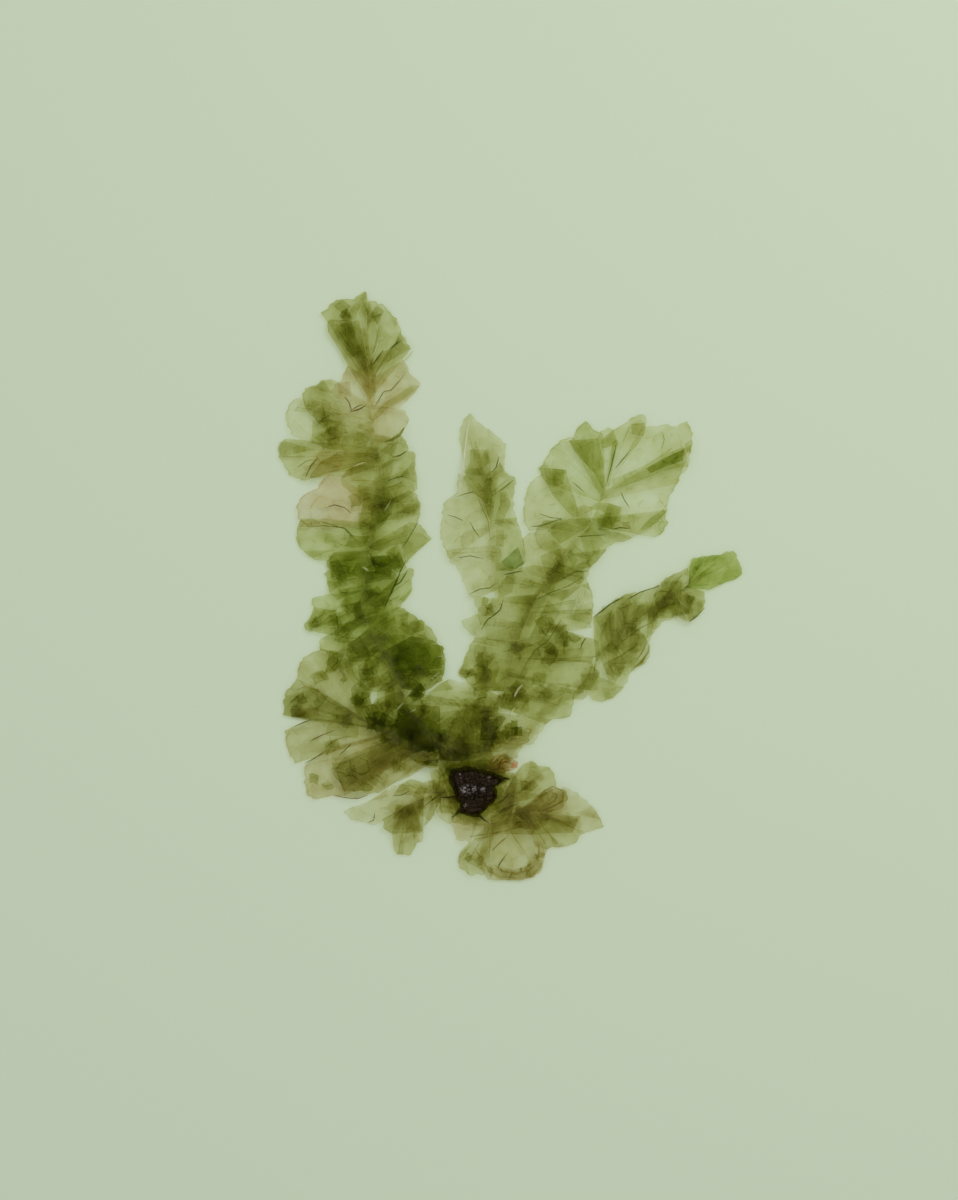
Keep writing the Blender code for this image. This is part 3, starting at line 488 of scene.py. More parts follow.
def turns(a, b, c):
    """Twice the area of each triangle a, b, c: above zero where it turns left."""
    ab, ac = b - a, c - a
    return ab[..., 0] * ac[..., 1] - ab[..., 1] * ac[..., 0]


# %% [markdown]
# ### From root and rim to a sheet
#
# The first function tries stretches of the midline, the second pairs each place on the
# rim with one on the root, and the third makes the sheet's grid and its triangles.

# %% Rule a lobe
COLUMN_SLANT = 0.12
COLUMN_STEP = 0.15


def root_choices(first, last, total):
    """Stretches of a spine that a lobe may grow from: the given one, then shorter parts of it."""
    for part in (1.0, 0.7, 0.45, 0.25):
        for anchor in (0.5, 0.0, 1.0):
            middle = first + (last - first) * (anchor + (0.5 - anchor) * part)
            half = max(abs(last - first) * part, SHORTEST_ROOT) / 2
            middle = np.clip(middle, half, total - half)
            yield middle - half, middle + half
            yield middle + half, middle - half


def root_and_rim(spine, root_ends, rim):
    """Pairs each rim point with a root point on the spine, so that no two columns cross."""
    first, last = (nearest(spine, end) for end in root_ends)
    share = lengths(rim) / lengths(rim)[-1]
    best = None
    for ends in root_choices(first, last, lengths(spine)[-1]):
        root = along(spine, ends[0] + (ends[1] - ends[0]) * share)
        whole = np.sign(signed_area(np.vstack([root, rim[::-1]])))
        lower = turns(root[:-1], root[1:], rim[1:]) * whole
        upper = turns(root[:-1], rim[1:], rim[:-1]) * whole
        folded = -np.minimum(lower, 0).sum() - np.minimum(upper, 0).sum()
        if best is None or folded < best[0] - 0.2:
            best = (folded, root, whole)
    folded, root, whole = best
    rim = rim.copy()
    for k in range(len(rim) - 1):
        column = rim[k] - root[k]
        reach = np.linalg.norm(column)
        if turns(root[k], rim[k + 1], rim[k]) * whole < COLUMN_SLANT * reach:
            column /= reach
            side = np.array([column[1], -column[0]]) * whole
            run = max((rim[k + 1] - root[k]) @ column, 0.5)
            rim[k + 1] = root[k] + column * run + side * COLUMN_STEP
    return root, rim


def lobe_sheet(spine, root_ends, rim):
    """A lobe's points in plan, its triangles turning left, and each point's share from root to rim."""
    rim = finer(straighter(rim, RIM_TOLERANCE), LONGEST_RIM_STEP)
    root, rim = root_and_rim(spine, root_ends, rim)
    reach = np.linalg.norm(rim - root, axis=1)
    near = np.minimum(ROOT_ROW / np.maximum(reach, 1e-6), 0.4)
    rows = max(1, math.ceil((reach.max() - ROOT_ROW) / ROW_LENGTH))
    beyond = np.linspace(0.0, 1.0, rows + 1)
    share = near[:, None] + (1 - near)[:, None] * beyond[None, :]
    share = np.column_stack([np.zeros(len(rim)), share])
    grid = root[:, None, :] * (1 - share)[:, :, None] + rim[:, None, :] * share[:, :, None]
    columns, across = share.shape
    number = np.arange(columns * across).reshape(columns, across)
    a, b = number[:-1, :-1].ravel(), number[1:, :-1].ravel()
    c, d = number[1:, 1:].ravel(), number[:-1, 1:].ravel()
    triangles = np.vstack([np.column_stack([a, b, c]), np.column_stack([a, c, d])])
    points = grid.reshape(-1, 2)
    if signed_area(np.vstack([root, rim[::-1]])) < 0:
        triangles = triangles[:, ::-1]
    around = np.repeat(lengths(rim), across)
    return off_holdfast(points), triangles, share.ravel(), around


# %% [markdown]
# ## The heap
#
# A height field keeps what is laid already, in square cells of half a millimetre, so that
# the next sheet can be laid on top of it.

# %% The height field


class Heap:
    """The height of everything laid so far, in small square cells."""

    def __init__(self):
        """An empty floor."""
        self.top = np.zeros((FIELD_ROWS, FIELD_COLUMNS))

    def cells(self, points):
        """The row and column of each point's cell: its distance from the corner over the cell."""
        column = np.floor((points[..., 0] - FIELD_X) / CELL).astype(int)
        row = np.floor((points[..., 1] - FIELD_Y) / CELL).astype(int)
        return np.clip(row, 1, FIELD_ROWS - 2), np.clip(column, 1, FIELD_COLUMNS - 2)

    def near(self, points, reach):
        """Which cells lie within reach of a line of points."""
        y, x = np.mgrid[0:FIELD_ROWS, 0:FIELD_COLUMNS]
        x = FIELD_X + (x + 0.5) * CELL
        y = FIELD_Y + (y + 0.5) * CELL
        found = np.zeros(self.top.shape, bool)
        for spot in finer(points, 0.8):
            found |= (x - spot[0]) ** 2 + (y - spot[1]) ** 2 < reach**2
        return found

    def add(self, points, heights):
        """Raises the cells of the points to their heights, where they were lower."""
        row, column = self.cells(points)
        np.maximum.at(self.top, (row.ravel(), column.ravel()), heights.ravel())


def widened(top):
    """Each cell's height or that of its highest neighbour."""
    wide = top.copy()
    for up in (-1, 0, 1):
        for right in (-1, 0, 1):
            wide = np.maximum(wide, np.roll(top, (up, right), axis=(0, 1)))
    return wide


print(f"a heap of {FIELD_ROWS} by {FIELD_COLUMNS} cells")

# %% [markdown]
# ## Laying a sheet
#
# A sheet's corners start a little above the field, and are raised until the whole sheet
# is clear of what lies below. Cloth simulation could do the same, but this takes no time,
# gives the same result each run, and keeps the sheet's outline where it is.

# %% Functions for laying a sheet
SOFT_LIFTS = 12
ALL_LIFTS = 14


def spread(longest):
    """Shares of a triangle's three corners at evenly spaced places all over it."""
    count = max(2, math.ceil(longest / (0.8 * CELL)))
    i, j = np.meshgrid(np.arange(count + 1), np.arange(count + 1))
    keep = (i + j) <= count
    i, j = i[keep] / count, j[keep] / count
    return np.column_stack([i, j, 1 - i - j])


def drape(heap, floor, points, triangles, heights):
    """Raises the corners of a sheet until it is clear of a floor all over.

    A triangle that dips below the heap is raised at its corners, first by the
    least lift that clears its deepest place, and at last all three corners
    alike, so that nothing can be left below.
    """
    corners = points[triangles]
    longest = np.linalg.norm(corners - np.roll(corners, 1, axis=1), axis=2).max()
    weights = spread(longest)
    places = np.einsum("mk,tkd->tmd", weights, corners)
    row, column = heap.cells(places)
    needed = floor[row, column] + GAP
    heights = heights.copy()
    for turn in range(ALL_LIFTS):
        depth = needed - np.einsum("mk,tk->tm", weights, heights[triangles])
        worst = depth.argmax(axis=1)
        lift = np.maximum(depth.max(axis=1), 0.0)
        share = weights[worst]
        if turn < SOFT_LIFTS:
            share = share / (share**2).sum(axis=1)[:, None]
        else:
            share = np.ones_like(share)
        raised = np.zeros_like(heights)
        np.maximum.at(raised, triangles.ravel(), (lift[:, None] * share).ravel())
        heights += raised
    return heights


def rasterise(heap, points, triangles, heights):
    """Adds a sheet's top to the heap."""
    corners = points[triangles]
    longest = np.linalg.norm(corners - np.roll(corners, 1, axis=1), axis=2).max()
    weights = spread(longest)
    heap.add(
        np.einsum("mk,tkd->tmd", weights, corners),
        np.einsum("mk,tk->tm", weights, heights[triangles]),
    )


# %% [markdown]
# ## Cores
#
# Along its midline a frond is a narrow band, from which all its lobes grow. Here a core is
# only laid on the heap, as the solids' cores were, so that the lobes find the same floor.

# %% Functions for cores


def core_path(spine):
    """Stations along a spine, each with its sideways direction and half width."""
    run = lengths(spine)
    count = max(2, math.ceil(run[-1] / CORE_STEP) + 1)
    distance = np.union1d(np.linspace(0.0, run[-1], count), run)
    keep = np.concatenate([[True], np.diff(distance) > 0.8])
    keep[-1] = True
    distance = distance[keep]
    place = along(spine, distance)
    ahead = np.gradient(place, axis=0)
    ahead /= np.linalg.norm(ahead, axis=1)[:, None]
    side = np.column_stack([-ahead[:, 1], ahead[:, 0]])
    half = np.interp(distance, [0, run[-1]], [CORE_HALF_WIDTH, CORE_TIP_HALF_WIDTH])
    return place, side, half


def highest_under_core(heap, place, side, half):
    """The heap's highest cell below each stretch between two stations, with its ends."""
    wide = widened(heap.top)
    across = np.linspace(-1.0, 1.0, 7)
    forward = np.linspace(0.0, 1.0, 14)
    highest = []
    for i in range(len(place) - 1):
        left = place[i] + np.outer(across, side[i] * half[i])
        right = place[i + 1] + np.outer(across, side[i + 1] * half[i + 1])
        spots = left[None] * (1 - forward)[:, None, None] + right[None] * forward[:, None, None]
        row, column = heap.cells(spots)
        highest.append(wide[row, column].max())
    return np.array(highest)


def at_stations(stretches):
    """A height for each station that is no lower than either stretch beside it."""
    padded = np.concatenate([[stretches[0]], stretches, [stretches[-1]]])
    return np.maximum(padded[:-1], padded[1:])


def core_sheet(place, side, half):
    """A core's plan as a strip of triangles: left, middle and right at each station."""
    left = place + side * half[:, None]
    right = place - side * half[:, None]
    count = len(place)
    points = np.vstack([left, right])
    a = np.arange(count - 1)
    first = np.column_stack([a + count, a + 1 + count, a + 1])
    second = np.column_stack([a + count, a + 1, a])
    return points, np.vstack([first, second])


print(f"a core is {2 * CORE_HALF_WIDTH} mm wide at its foot")

# %% [markdown]
# ## Laying the lobes
#
# The fronds are laid in the order in which they lie on one another, exactly as the solids
# were. Near the midline the lobes of one frond may grow together. What comes back for each
# lobe is a coarse grid of places in the middle of its blade, columns along the rim and
# rows from root to rim.

# %% Lay every frond on the heap
WAVE_SHIFT = 1.7
HOLDFAST_ROOM = 1.05


def lay_frond(name, heap):
    """The coarse grid of each lobe of a frond; the heap then holds the frond too."""
    cores = []
    for spine_name in CORES[name]:
        place, side, half = core_path(plan(SPINES[spine_name]))
        below = highest_under_core(heap, place, side, half)
        cores.append((place, side, half, at_stations(np.where(below > 0.0, below + GAP, 0.0))))
    for place, side, half, under in cores:
        points, triangles = core_sheet(place, side, half)
        rasterise(heap, points, triangles, np.tile(under, 2))
    root_zone = np.zeros(heap.top.shape, bool)
    for place, side, half, under in cores:
        root_zone |= heap.near(place, ROOT_ZONE)
    bare = widened(heap.top)
    lobes = []
    for number, (spine_name, root_text, rim_text) in enumerate(FRONDS[name]):
        points, triangles, outward, around = lobe_sheet(
            plan(SPINES[spine_name]), plan(root_text), plan(rim_text)
        )
        row, column = heap.cells(points)
        wave = 0.5 + 0.5 * np.sin(2 * math.pi * around / RIM_WAVE + WAVE_SHIFT * number)
        floor = np.where(root_zone, bare, widened(heap.top))
        floor[root_zone] += ROOT_STAGGER * (number % 5)
        rest = np.where(root_zone, bare, heap.top)[row, column] + GAP
        rest += RIM_LIFT * wave * outward**2
        under = drape(heap, floor, points, triangles, rest)
        rasterise(heap, points, triangles, under + BLADE)
        across = int(np.argmax(around > 0))
        grid = np.column_stack([points, under + BLADE / 2]).reshape(-1, across, 3)
        look = LOOKS[name].split()[number]
        lobes.append((grid, around.reshape(-1, across)[:, 0], look[0], float(look[1:])))
    for place, side, half, under in cores:
        top = at_stations(highest_under_core(heap, place, side, half)) + CORE_COVER
        points, triangles = core_sheet(place, side, half)
        rasterise(heap, points, triangles, np.tile(np.maximum(top, under + BLADE), 2))
    return lobes


laid = Heap()
rasterise(
    laid,
    np.vstack([HOLDFAST, HOLDFAST_MIDDLE]),
    np.array([(i, (i + 1) % len(HOLDFAST), len(HOLDFAST)) for i in range(len(HOLDFAST))]),
    np.full(len(HOLDFAST) + 1, HOLDFAST_HEIGHT * HOLDFAST_ROOM),
)
holdfast_cells = laid.top > 0.0
lobes_of = {name: lay_frond(name, laid) for name in FRONDS}
print(sum(len(lobes) for lobes in lobes_of.values()), "lobes")
print(f"heap {laid.top.max():.2f} mm, solids {cad_high[2] * 1000:.2f} mm")

# %% [markdown]
# ## Places on a lobe and on the heap
#
# `surface` finds a place on a lobe from its distance along the rim and its share of the
# way from root to rim. Each quad of the coarse grid is split along the same diagonal as
# the solid's, so the membrane keeps the solid's form. `heap_at` blends the four cells
# round a place, for what lies on top of the fronds. In it, the fronds' own height goes on
# over the holdfast, or the folds beside it would climb its wall.

# %% Functions for places
FILLING_TURNS = 16
SMOOTHING_TURNS = 2
BOX_LOW = cad_low / MM + np.array([0.03, 0.03, 0.02])
BOX_HIGH = cad_high / MM - np.array([0.03, 0.03, 0.08])


def surface(lobe, arc, share):
    """Places on a lobe: arc in millimetres along its rim, share from 0 at the root to 1."""
    grid, around = lobe[0], lobe[1]
    column = np.interp(arc, around, np.arange(len(around)))
    row = np.clip(share, 0.0, 1.0) * (grid.shape[1] - 1)
    k = np.minimum(column.astype(int), len(around) - 2)
    j = np.minimum(row.astype(int), grid.shape[1] - 2)
    p, q = (column - k)[..., None], (row - j)[..., None]
    a, b, c, d = grid[k, j], grid[k + 1, j], grid[k + 1, j + 1], grid[k, j + 1]
    return np.where(p >= q, a + (b - a) * p + (c - b) * q, a + (c - d) * p + (d - a) * q)


HEAP_TOP = np.where(holdfast_cells, 0.0, laid.top)
for turn in range(FILLING_TURNS):
    HEAP_TOP = np.where(holdfast_cells, widened(HEAP_TOP), HEAP_TOP)
HEAP_TOP = widened(HEAP_TOP)
for turn in range(SMOOTHING_TURNS):
    beside = [np.roll(HEAP_TOP, step, axis=axis) for axis in (0, 1) for step in (1, -1)]
    HEAP_TOP = sum(beside, HEAP_TOP) / 5


def heap_at(places):
    """The heap's smoothed height at each place in plan."""
    x = np.clip((places[..., 0] - FIELD_X) / CELL - 0.5, 0, FIELD_COLUMNS - 1.001)
    y = np.clip((places[..., 1] - FIELD_Y) / CELL - 0.5, 0, FIELD_ROWS - 1.001)
    i, j = x.astype(int), y.astype(int)
    u, v = x - i, y - j
    low = HEAP_TOP[j, i] * (1 - u) + HEAP_TOP[j, i + 1] * u
    high = HEAP_TOP[j + 1, i] * (1 - u) + HEAP_TOP[j + 1, i + 1] * u
    return low * (1 - v) + high * v


def ripple(values, wave, phase):
    """A smooth uneven wave between about -1 and 1: three sines that don't fall in step."""
    turn = 2 * math.pi * values / wave
    return (
        np.sin(turn + phase) + 0.6 * np.sin(2.3 * turn + 1.7 * phase) + 0.4 * np.sin(4.1 * turn - phase)
    ) / 2.0


print(f"smoothed heap {HEAP_TOP.max():.2f} mm")

# %% [markdown]
# ## Thin and stained places
#
# The tissue isn't equally thick all over: where it is thin, the floor's light comes
# through almost unchanged. Some of it dried greener and some browner. Each place has a
# radius, and the change fades out round it by a bell curve, so that no spot has an edge.

# %% Table of thin and stained places
# Where the blade is thinner than elsewhere: place, radius in plan steps, share that is gone
THINNED = [
    ("362,398", 24, 0.60), ("340,405", 22, 0.35), ("340,440", 26, 0.35), ("370,430", 18, 0.40),
    ("595,480", 36, 0.62), ("640,475", 30, 0.45), ("585,450", 20, 0.30), ("560,500", 22, 0.35),
    ("503,616", 22, 0.65), ("508,655", 20, 0.45), ("485,540", 24, 0.45), ("590,538", 18, 0.40),
    ("310,520", 14, 0.40), ("328,605", 14, 0.45), ("345,538", 14, 0.40), ("400,526", 16, 0.45),
    ("490,572", 14, 0.40), ("640,515", 28, 0.50), ("562,448", 20, 0.35), ("460,682", 12, 0.50),
    ("452,718", 12, 0.45), ("478,832", 14, 0.45), ("345,750", 22, 0.25), ("392,610", 10, 0.40),
]

# Where the tissue dried greener or browner: place, radius in plan steps, and what its
# red and blue lose against its tone
STAINS = [
    ("625,465", 90, 1.09, 1.12), ("360,600", 80, 1.10, 1.10), ("540,835", 90, 0.90, 0.93),
    ("405,812", 60, 0.92, 0.94), ("310,745", 60, 0.99, 0.96), ("368,400", 40, 0.88, 0.97),
    ("335,474", 34, 0.88, 1.03),
]

print(len(THINNED), "thin places,", len(STAINS), "stained ones")

# %% [markdown]
# ## Thin shells
#
# Every membrane, fold and crease is a grid of places made into a closed shell: a top, a
# bottom and four narrow walls. All shells of one piece go into one mesh, with a place on
# the sheet as UV, and at each corner the tone that it leaves of the light, how many
# layers it stands for, and how much of it is solid colour.

# %% Functions for shells


def shell(grid, thickness):
    """Corners and outward quads of a closed shell round a grid of places."""
    n, m = grid.shape[:2]
    number = np.arange(n * m).reshape(n, m)
    a, b = number[:-1, :-1].ravel(), number[1:, :-1].ravel()
    c, d = number[1:, 1:].ravel(), number[:-1, 1:].ravel()
    top = np.column_stack([a, b, c, d])
    ring = np.concatenate([number[:, 0], number[-1, 1:], number[-2::-1, -1], number[0, -2:0:-1]])
    after = np.roll(ring, -1)
    walls = np.column_stack([ring + n * m, after + n * m, after, ring])
    quads = np.vstack([top, top[:, ::-1] + n * m, walls])
    first, second = grid[1:, :-1] - grid[:-1, :-1], grid[:-1, 1:] - grid[:-1, :-1]
    if (first[..., 0] * second[..., 1] - first[..., 1] * second[..., 0]).sum() < 0:
        quads = quads[:, ::-1]
    flat = grid.reshape(-1, 3)
    lift = np.array([0.0, 0.0, thickness / 2])
    return np.vstack([flat + lift, flat - lift]), quads


def near_spot(places, text, radius, power):
    """One at a spot of the plan, and gently down to nothing round its radius."""
    apart = np.linalg.norm(places[..., :2] - plan(text)[0], axis=-1) / (radius * PLAN_SCALE)
    return np.exp(-(apart**power))


def thickness_at(places):
    """The share of its layers that the tissue has at each place: less round the thin spots."""
    kept = np.ones(places.shape[:-1])
    for text, radius, gone in THINNED:
        kept *= 1 - gone * near_spot(places, text, radius, 4)
    return kept


def tone_at(places, tone):
    """The tone at each place, as powers of what one face leaves: stains change red and blue."""
    power = np.full(places.shape[:-1] + (3,), 0.25)
    for text, radius, red, blue in STAINS:
        near = near_spot(places, text, radius, 3)
        power[..., 0] *= 1 + (red - 1) * near
        power[..., 2] *= 1 + (blue - 1) * near
    colour = np.array(TONES[tone]) ** power
    return np.concatenate([colour, np.ones(places.shape[:-1] + (1,))], axis=-1)


print(f"at the round lobe {thickness_at(plan('595,480')[0]):.2f} of the layers are left")

# %% [markdown]
# ### A sheaf of shells
#
# A frond has dozens of lobes and folds. One object for each would be slow, so each kind
# of piece of a frond is gathered into one mesh.

# %% The sheaf


def place_piece(name, node, mesh, material):
    """An object for a mesh, riding on the root in the place of a node."""
    mesh.materials.append(material)
    piece = bpy.data.objects.new(name, mesh)
    bpy.context.scene.collection.objects.link(piece)
    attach(piece, "root")
    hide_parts(node)
    return piece


class Sheaf:
    """Gathers shells for one piece, and makes one mesh of them."""

    def __init__(self):
        """An empty sheaf."""
        self.places, self.quads, self.uv = [], [], []
        self.tone, self.layers, self.cover = [], [], []
        self.count = 0

    def add(self, grid, uv, tone, layers, cover=0.0, thickness=MEMBRANE):
        """Adds a shell round a grid that is kept inside the solids' box."""
        grid = grid.copy()
        grid[..., :2] = np.clip(grid[..., :2], BOX_LOW[:2], BOX_HIGH[:2])
        grid[..., 2] = np.clip(grid[..., 2], BOX_LOW[2] + thickness, BOX_HIGH[2])
        places, quads = shell(grid, thickness)
        n = grid.shape[0] * grid.shape[1]
        self.places.append(places)
        self.quads.append(quads + self.count)
        self.uv.append(np.tile(uv.reshape(n, 2), (2, 1)))
        self.tone.append(np.tile(tone_at(grid, tone).reshape(n, 4), (2, 1)))
        self.layers.append(np.tile(np.broadcast_to(layers, grid.shape[:2]).ravel(), 2))
        self.cover.append(np.full(2 * n, cover))
        self.count += 2 * n

    def make(self, name, node, material):
        """One piece of all the shells, with their UV map and attributes."""
        places = np.vstack(self.places) * MM
        quads = np.vstack(self.quads)
        mesh = bpy.data.meshes.new(name)
        mesh.vertices.add(len(places))
        mesh.vertices.foreach_set("co", places.ravel())
        mesh.loops.add(quads.size)
        mesh.loops.foreach_set("vertex_index", quads.ravel())
        mesh.polygons.add(len(quads))
        mesh.polygons.foreach_set("loop_start", np.arange(len(quads)) * 4)
        mesh.polygons.foreach_set("use_smooth", np.ones(len(quads), bool))
        mesh.update(calc_edges=True)
        sheet = mesh.uv_layers.new(name="sheet")
        sheet.data.foreach_set("uv", np.vstack(self.uv)[quads.ravel()].ravel() * 0.01)
        tone = mesh.attributes.new("tone", "FLOAT_COLOR", "POINT")
        tone.data.foreach_set("color", np.vstack(self.tone).ravel())
        for key, values in (("layers", self.layers), ("cover", self.cover)):
            mesh.attributes.new(key, "FLOAT", "POINT").data.foreach_set("value", np.concatenate(values))
        place_piece(name, node, mesh, material)
        print(f"{name}: {2 * len(quads)} triangles")


# %% [markdown]
# ## Helpers for materials
#
# A material is a tree of shader nodes. These helpers add a node with its settings and
# inputs in one call, so that a material reads as a list of what happens to the light.

# %% Functions for shader nodes


def node_in(tree, kind, inputs=None, **settings):
    """Adds a shader node, with its settings and its plain or linked inputs."""
    node = tree.nodes.new(kind)
    for key, value in settings.items():
        setattr(node, key, value)
    for key, value in (inputs or {}).items():
        if isinstance(value, bpy.types.NodeSocket):
            tree.links.new(value, node.inputs[key])
        else:
            node.inputs[key].default_value = value
    return node


def noise_in(tree, vector, scale, detail=3.0, roughness=0.55):
    """A noise's value, from 0 to 1."""
    found = {"Vector": vector, "Scale": scale, "Detail": detail, "Roughness": roughness}
    return node_in(tree, "ShaderNodeTexNoise", found).outputs[0]


def ranged(tree, value, low, high, new_low, new_high):
    """A value taken from one range to another."""
    found = {"Value": value, "From Min": low, "From Max": high, "To Min": new_low, "To Max": new_high}
    return node_in(tree, "ShaderNodeMapRange", found).outputs[0]


def sum_of(tree, kind, first, second):
    """Adds, multiplies or takes the larger of two values."""
    return node_in(tree, "ShaderNodeMath", {0: first, 1: second}, operation=kind).outputs[0]


def total(tree, first, *others):
    """The sum of several values."""
    for other in others:
        first = sum_of(tree, "ADD", first, other)
    return first


# %% [markdown]
# ## The membrane's material
#
# Dried *Ulva* is a stained film more than a surface. Most light passes, coloured by what
# the cells keep. By Beer's law each layer multiplies what is left, so the colour of a face
# is its tone raised to the number of layers, by a Gamma node. Two noises vary that
# number: one drawn out from root to rim, as the tissue was stretched, and one in blotches.
# The small remaining share is a dull green surface with a soft sheen. A bump on it would
# hardly show, so the creases are in the film's colour: darker lines along the facets'
# edges, partly more film and partly painted shade. Where a face is mostly surface, as on
# a glint, its colour is painted pale: a painted highlight.

# %% Make the membrane's material


def crumple(tree, sheet, scale):
    """The facets of a crumpled film: a value for each facet, and a line along their edges.

    The facets are the cells of a Voronoi pattern, whose places a noise moves sideways
    first, so that their edges aren't straight.
    """
    wander = noise_in(tree, sheet, scale * 1.3, 2.0, 0.5)
    shift = node_in(tree, "ShaderNodeCombineXYZ", {"X": ranged(tree, wander, 0.3, 0.7, 0.0, 0.35 / scale)})
    moved = node_in(tree, "ShaderNodeVectorMath", {0: sheet, 1: shift.outputs[0]}, operation="ADD")
    found = {"Vector": moved.outputs[0], "Scale": scale, "Randomness": 1.0}
    cells = node_in(tree, "ShaderNodeTexVoronoi", found, voronoi_dimensions="2D")
    share = node_in(tree, "ShaderNodeSeparateColor", {"Color": cells.outputs["Color"]}).outputs[0]
    rims = node_in(
        tree, "ShaderNodeTexVoronoi", found, voronoi_dimensions="2D", feature="DISTANCE_TO_EDGE"
    )
    line = ranged(tree, rims.outputs["Distance"], 0.012, 0.045, 1.0, 0.0)
    return share, line


def membrane_material():
    """A film that passes its tone to the power of its layers, mixed with a little surface."""
    material = bpy.data.materials.new("ulva_membrane")
    material.use_nodes = True
    tree = material.node_tree
    tree.nodes.clear()
    tone = node_in(tree, "ShaderNodeAttribute", attribute_name="tone").outputs["Color"]
    layers = node_in(tree, "ShaderNodeAttribute", attribute_name="layers").outputs["Fac"]
    cover = node_in(tree, "ShaderNodeAttribute", attribute_name="cover").outputs["Fac"]
    sheet = node_in(tree, "ShaderNodeUVMap", uv_map="sheet").outputs["UV"]
    drawn = node_in(tree, "ShaderNodeMapping", {"Vector": sheet, "Scale": (22.0, 11.0, 1.0)})
    streaks = noise_in(tree, drawn.outputs[0], 1.0, 3.0, 0.55)
    place = node_in(tree, "ShaderNodeTexCoord").outputs["Object"]
    blotches = noise_in(tree, place, 240.0, 3.0, 0.6)
    facets, edges = crumple(tree, sheet, 16.0)
    uneven = total(
        tree,
        ranged(tree, streaks, 0.34, 0.66, -0.13, 0.15),
        ranged(tree, blotches, 0.36, 0.64, -0.24, 0.27),
        ranged(tree, facets, 0.0, 1.0, -0.20, 0.22),
    )
    # Darker lines along the facets' edges: partly more film at a crease, partly painted shade
    crease_shade_lines = sum_of(tree, "MULTIPLY", edges, ranged(tree, blotches, 0.48, 0.62, 0.0, 1.0))
    depth = sum_of(tree, "MULTIPLY", layers, sum_of(tree, "ADD", uneven, 1.0))
    depth = sum_of(tree, "MAXIMUM", sum_of(tree, "ADD", depth, crease_shade_lines), 0.2)
    passed = node_in(tree, "ShaderNodeGamma", {"Color": tone, "Gamma": depth}).outputs[0]
    film = node_in(tree, "ShaderNodeBsdfTransparent", {"Color": passed})
    # A face with a glint's high cover gets a pale surface colour: a painted highlight
    dull = ranged(tree, cover, 0.30, 0.38, ranged(tree, depth, 0.5, 4.0, 9.0, 22.0), 3.2)
    solid_colour = node_in(tree, "ShaderNodeGamma", {"Color": tone, "Gamma": dull}).outputs[0]
    skin = node_in(
        tree,
        "ShaderNodeBsdfPrincipled",
        {
            "Base Color": solid_colour,
            "Roughness": ranged(tree, blotches, 0.35, 0.65, 0.34, 0.52),
            "Specular IOR Level": 0.4,
            "Specular Tint": (0.9, 1.0, 0.6, 1.0),
        },
    )
    share = sum_of(tree, "MAXIMUM", cover, 0.03)
    mixed = node_in(tree, "ShaderNodeMixShader", {0: share, 1: film.outputs[0], 2: skin.outputs[0]})
    node_in(tree, "ShaderNodeOutputMaterial", {"Surface": mixed.outputs[0]})
    return material


MEMBRANE_LOOK = membrane_material()
print(len(MEMBRANE_LOOK.node_tree.nodes), "nodes in", MEMBRANE_LOOK.name)

# %% [markdown]
# ## Membranes
#
# One shell for each lobe. Its rim is frilled more finely than the solid's, it thickens
# towards the root where the tissue crowds, and its very edge gets extra layers: the fine
# dark line that pressed *Ulva* has, partly its turned-up edge and partly painted shade.

# %% Make the membranes
chance = np.random.default_rng(SEED)
FULL_TURN = 6.28

# How far the rim's frills go, and their waves along the rim
FRILL = 0.34
FRILL_WAVE = 3.7
FINE_FRILL = 0.20
FINE_FRILL_WAVE = 1.4
NOTCH = 0.9
NOTCH_WAVE = 6.3

# How far the blade swells up and down, and its waves
RIM_SWELL = 0.13
RIM_SWELL_WAVE = 5.2
BLADE_SWELL = 0.05
BLADE_SWELL_WAVE = 3.1

# The layers added at the very edge: partly the turned-up edge, partly painted shade
EDGE_AND_SHADE_LAYERS = 0.9


def add_membrane(sheaf, lobe):
    """A lobe's membrane: its ruled surface, moved outwards and up by uneven waves."""
    length = lobe[1][-1]
    reach = np.linalg.norm(lobe[0][:, -1, :2] - lobe[0][:, 0, :2], axis=1).max()
    arc = np.linspace(0.0, length, max(10, int(length / MEMBRANE_STEP)))
    share = np.concatenate(
        [np.linspace(0.0, 0.97, max(6, int(reach / (1.3 * MEMBRANE_STEP)))), [1.0]]
    )
    arc, share = np.meshgrid(arc, share, indexing="ij")
    grid = surface(lobe, arc, share)
    phase = chance.uniform(0, FULL_TURN, 4)
    outward = surface(lobe, arc, np.ones_like(arc)) - surface(lobe, arc, np.full_like(arc, 0.6))
    outward[..., 2] = 0
    outward /= np.maximum(np.linalg.norm(outward, axis=2), 1e-6)[..., None]
    frill = FRILL * ripple(arc, FRILL_WAVE, phase[0])
    frill += FINE_FRILL * ripple(arc, FINE_FRILL_WAVE, phase[1])
    frill -= NOTCH * np.clip(ripple(arc, NOTCH_WAVE, phase[2]) - 0.62, 0, 1)
    grid += outward * (frill * share**8)[..., None]
    grid[..., 2] += RIM_SWELL * ripple(arc, RIM_SWELL_WAVE, phase[2]) * share**1.5
    grid[..., 2] += BLADE_SWELL * ripple(share * reach + arc, BLADE_SWELL_WAVE, phase[3])
    crowded = 0.72 + 0.75 * (1 - share) ** 1.4 + 0.10 * ripple(arc, 11.0, phase[1])
    layers = lobe[3] * np.maximum(crowded, 0.4) * thickness_at(grid)
    # A darker line all round the rim: partly the turned-up edge, partly painted shade
    layers += EDGE_AND_SHADE_LAYERS * (share > 0.98)
    uv = np.stack([arc + 40 * phase[0], share * reach + 30 * phase[1]], axis=-1)
    sheaf.add(grid, uv, lobe[2], layers)


for name, lobes in lobes_of.items():
    sheaf = Sheaf()
    for lobe in lobes:
        add_membrane(sheaf, lobe)
    sheaf.make(name.replace("frond", "membrane"), name, MEMBRANE_LOOK)

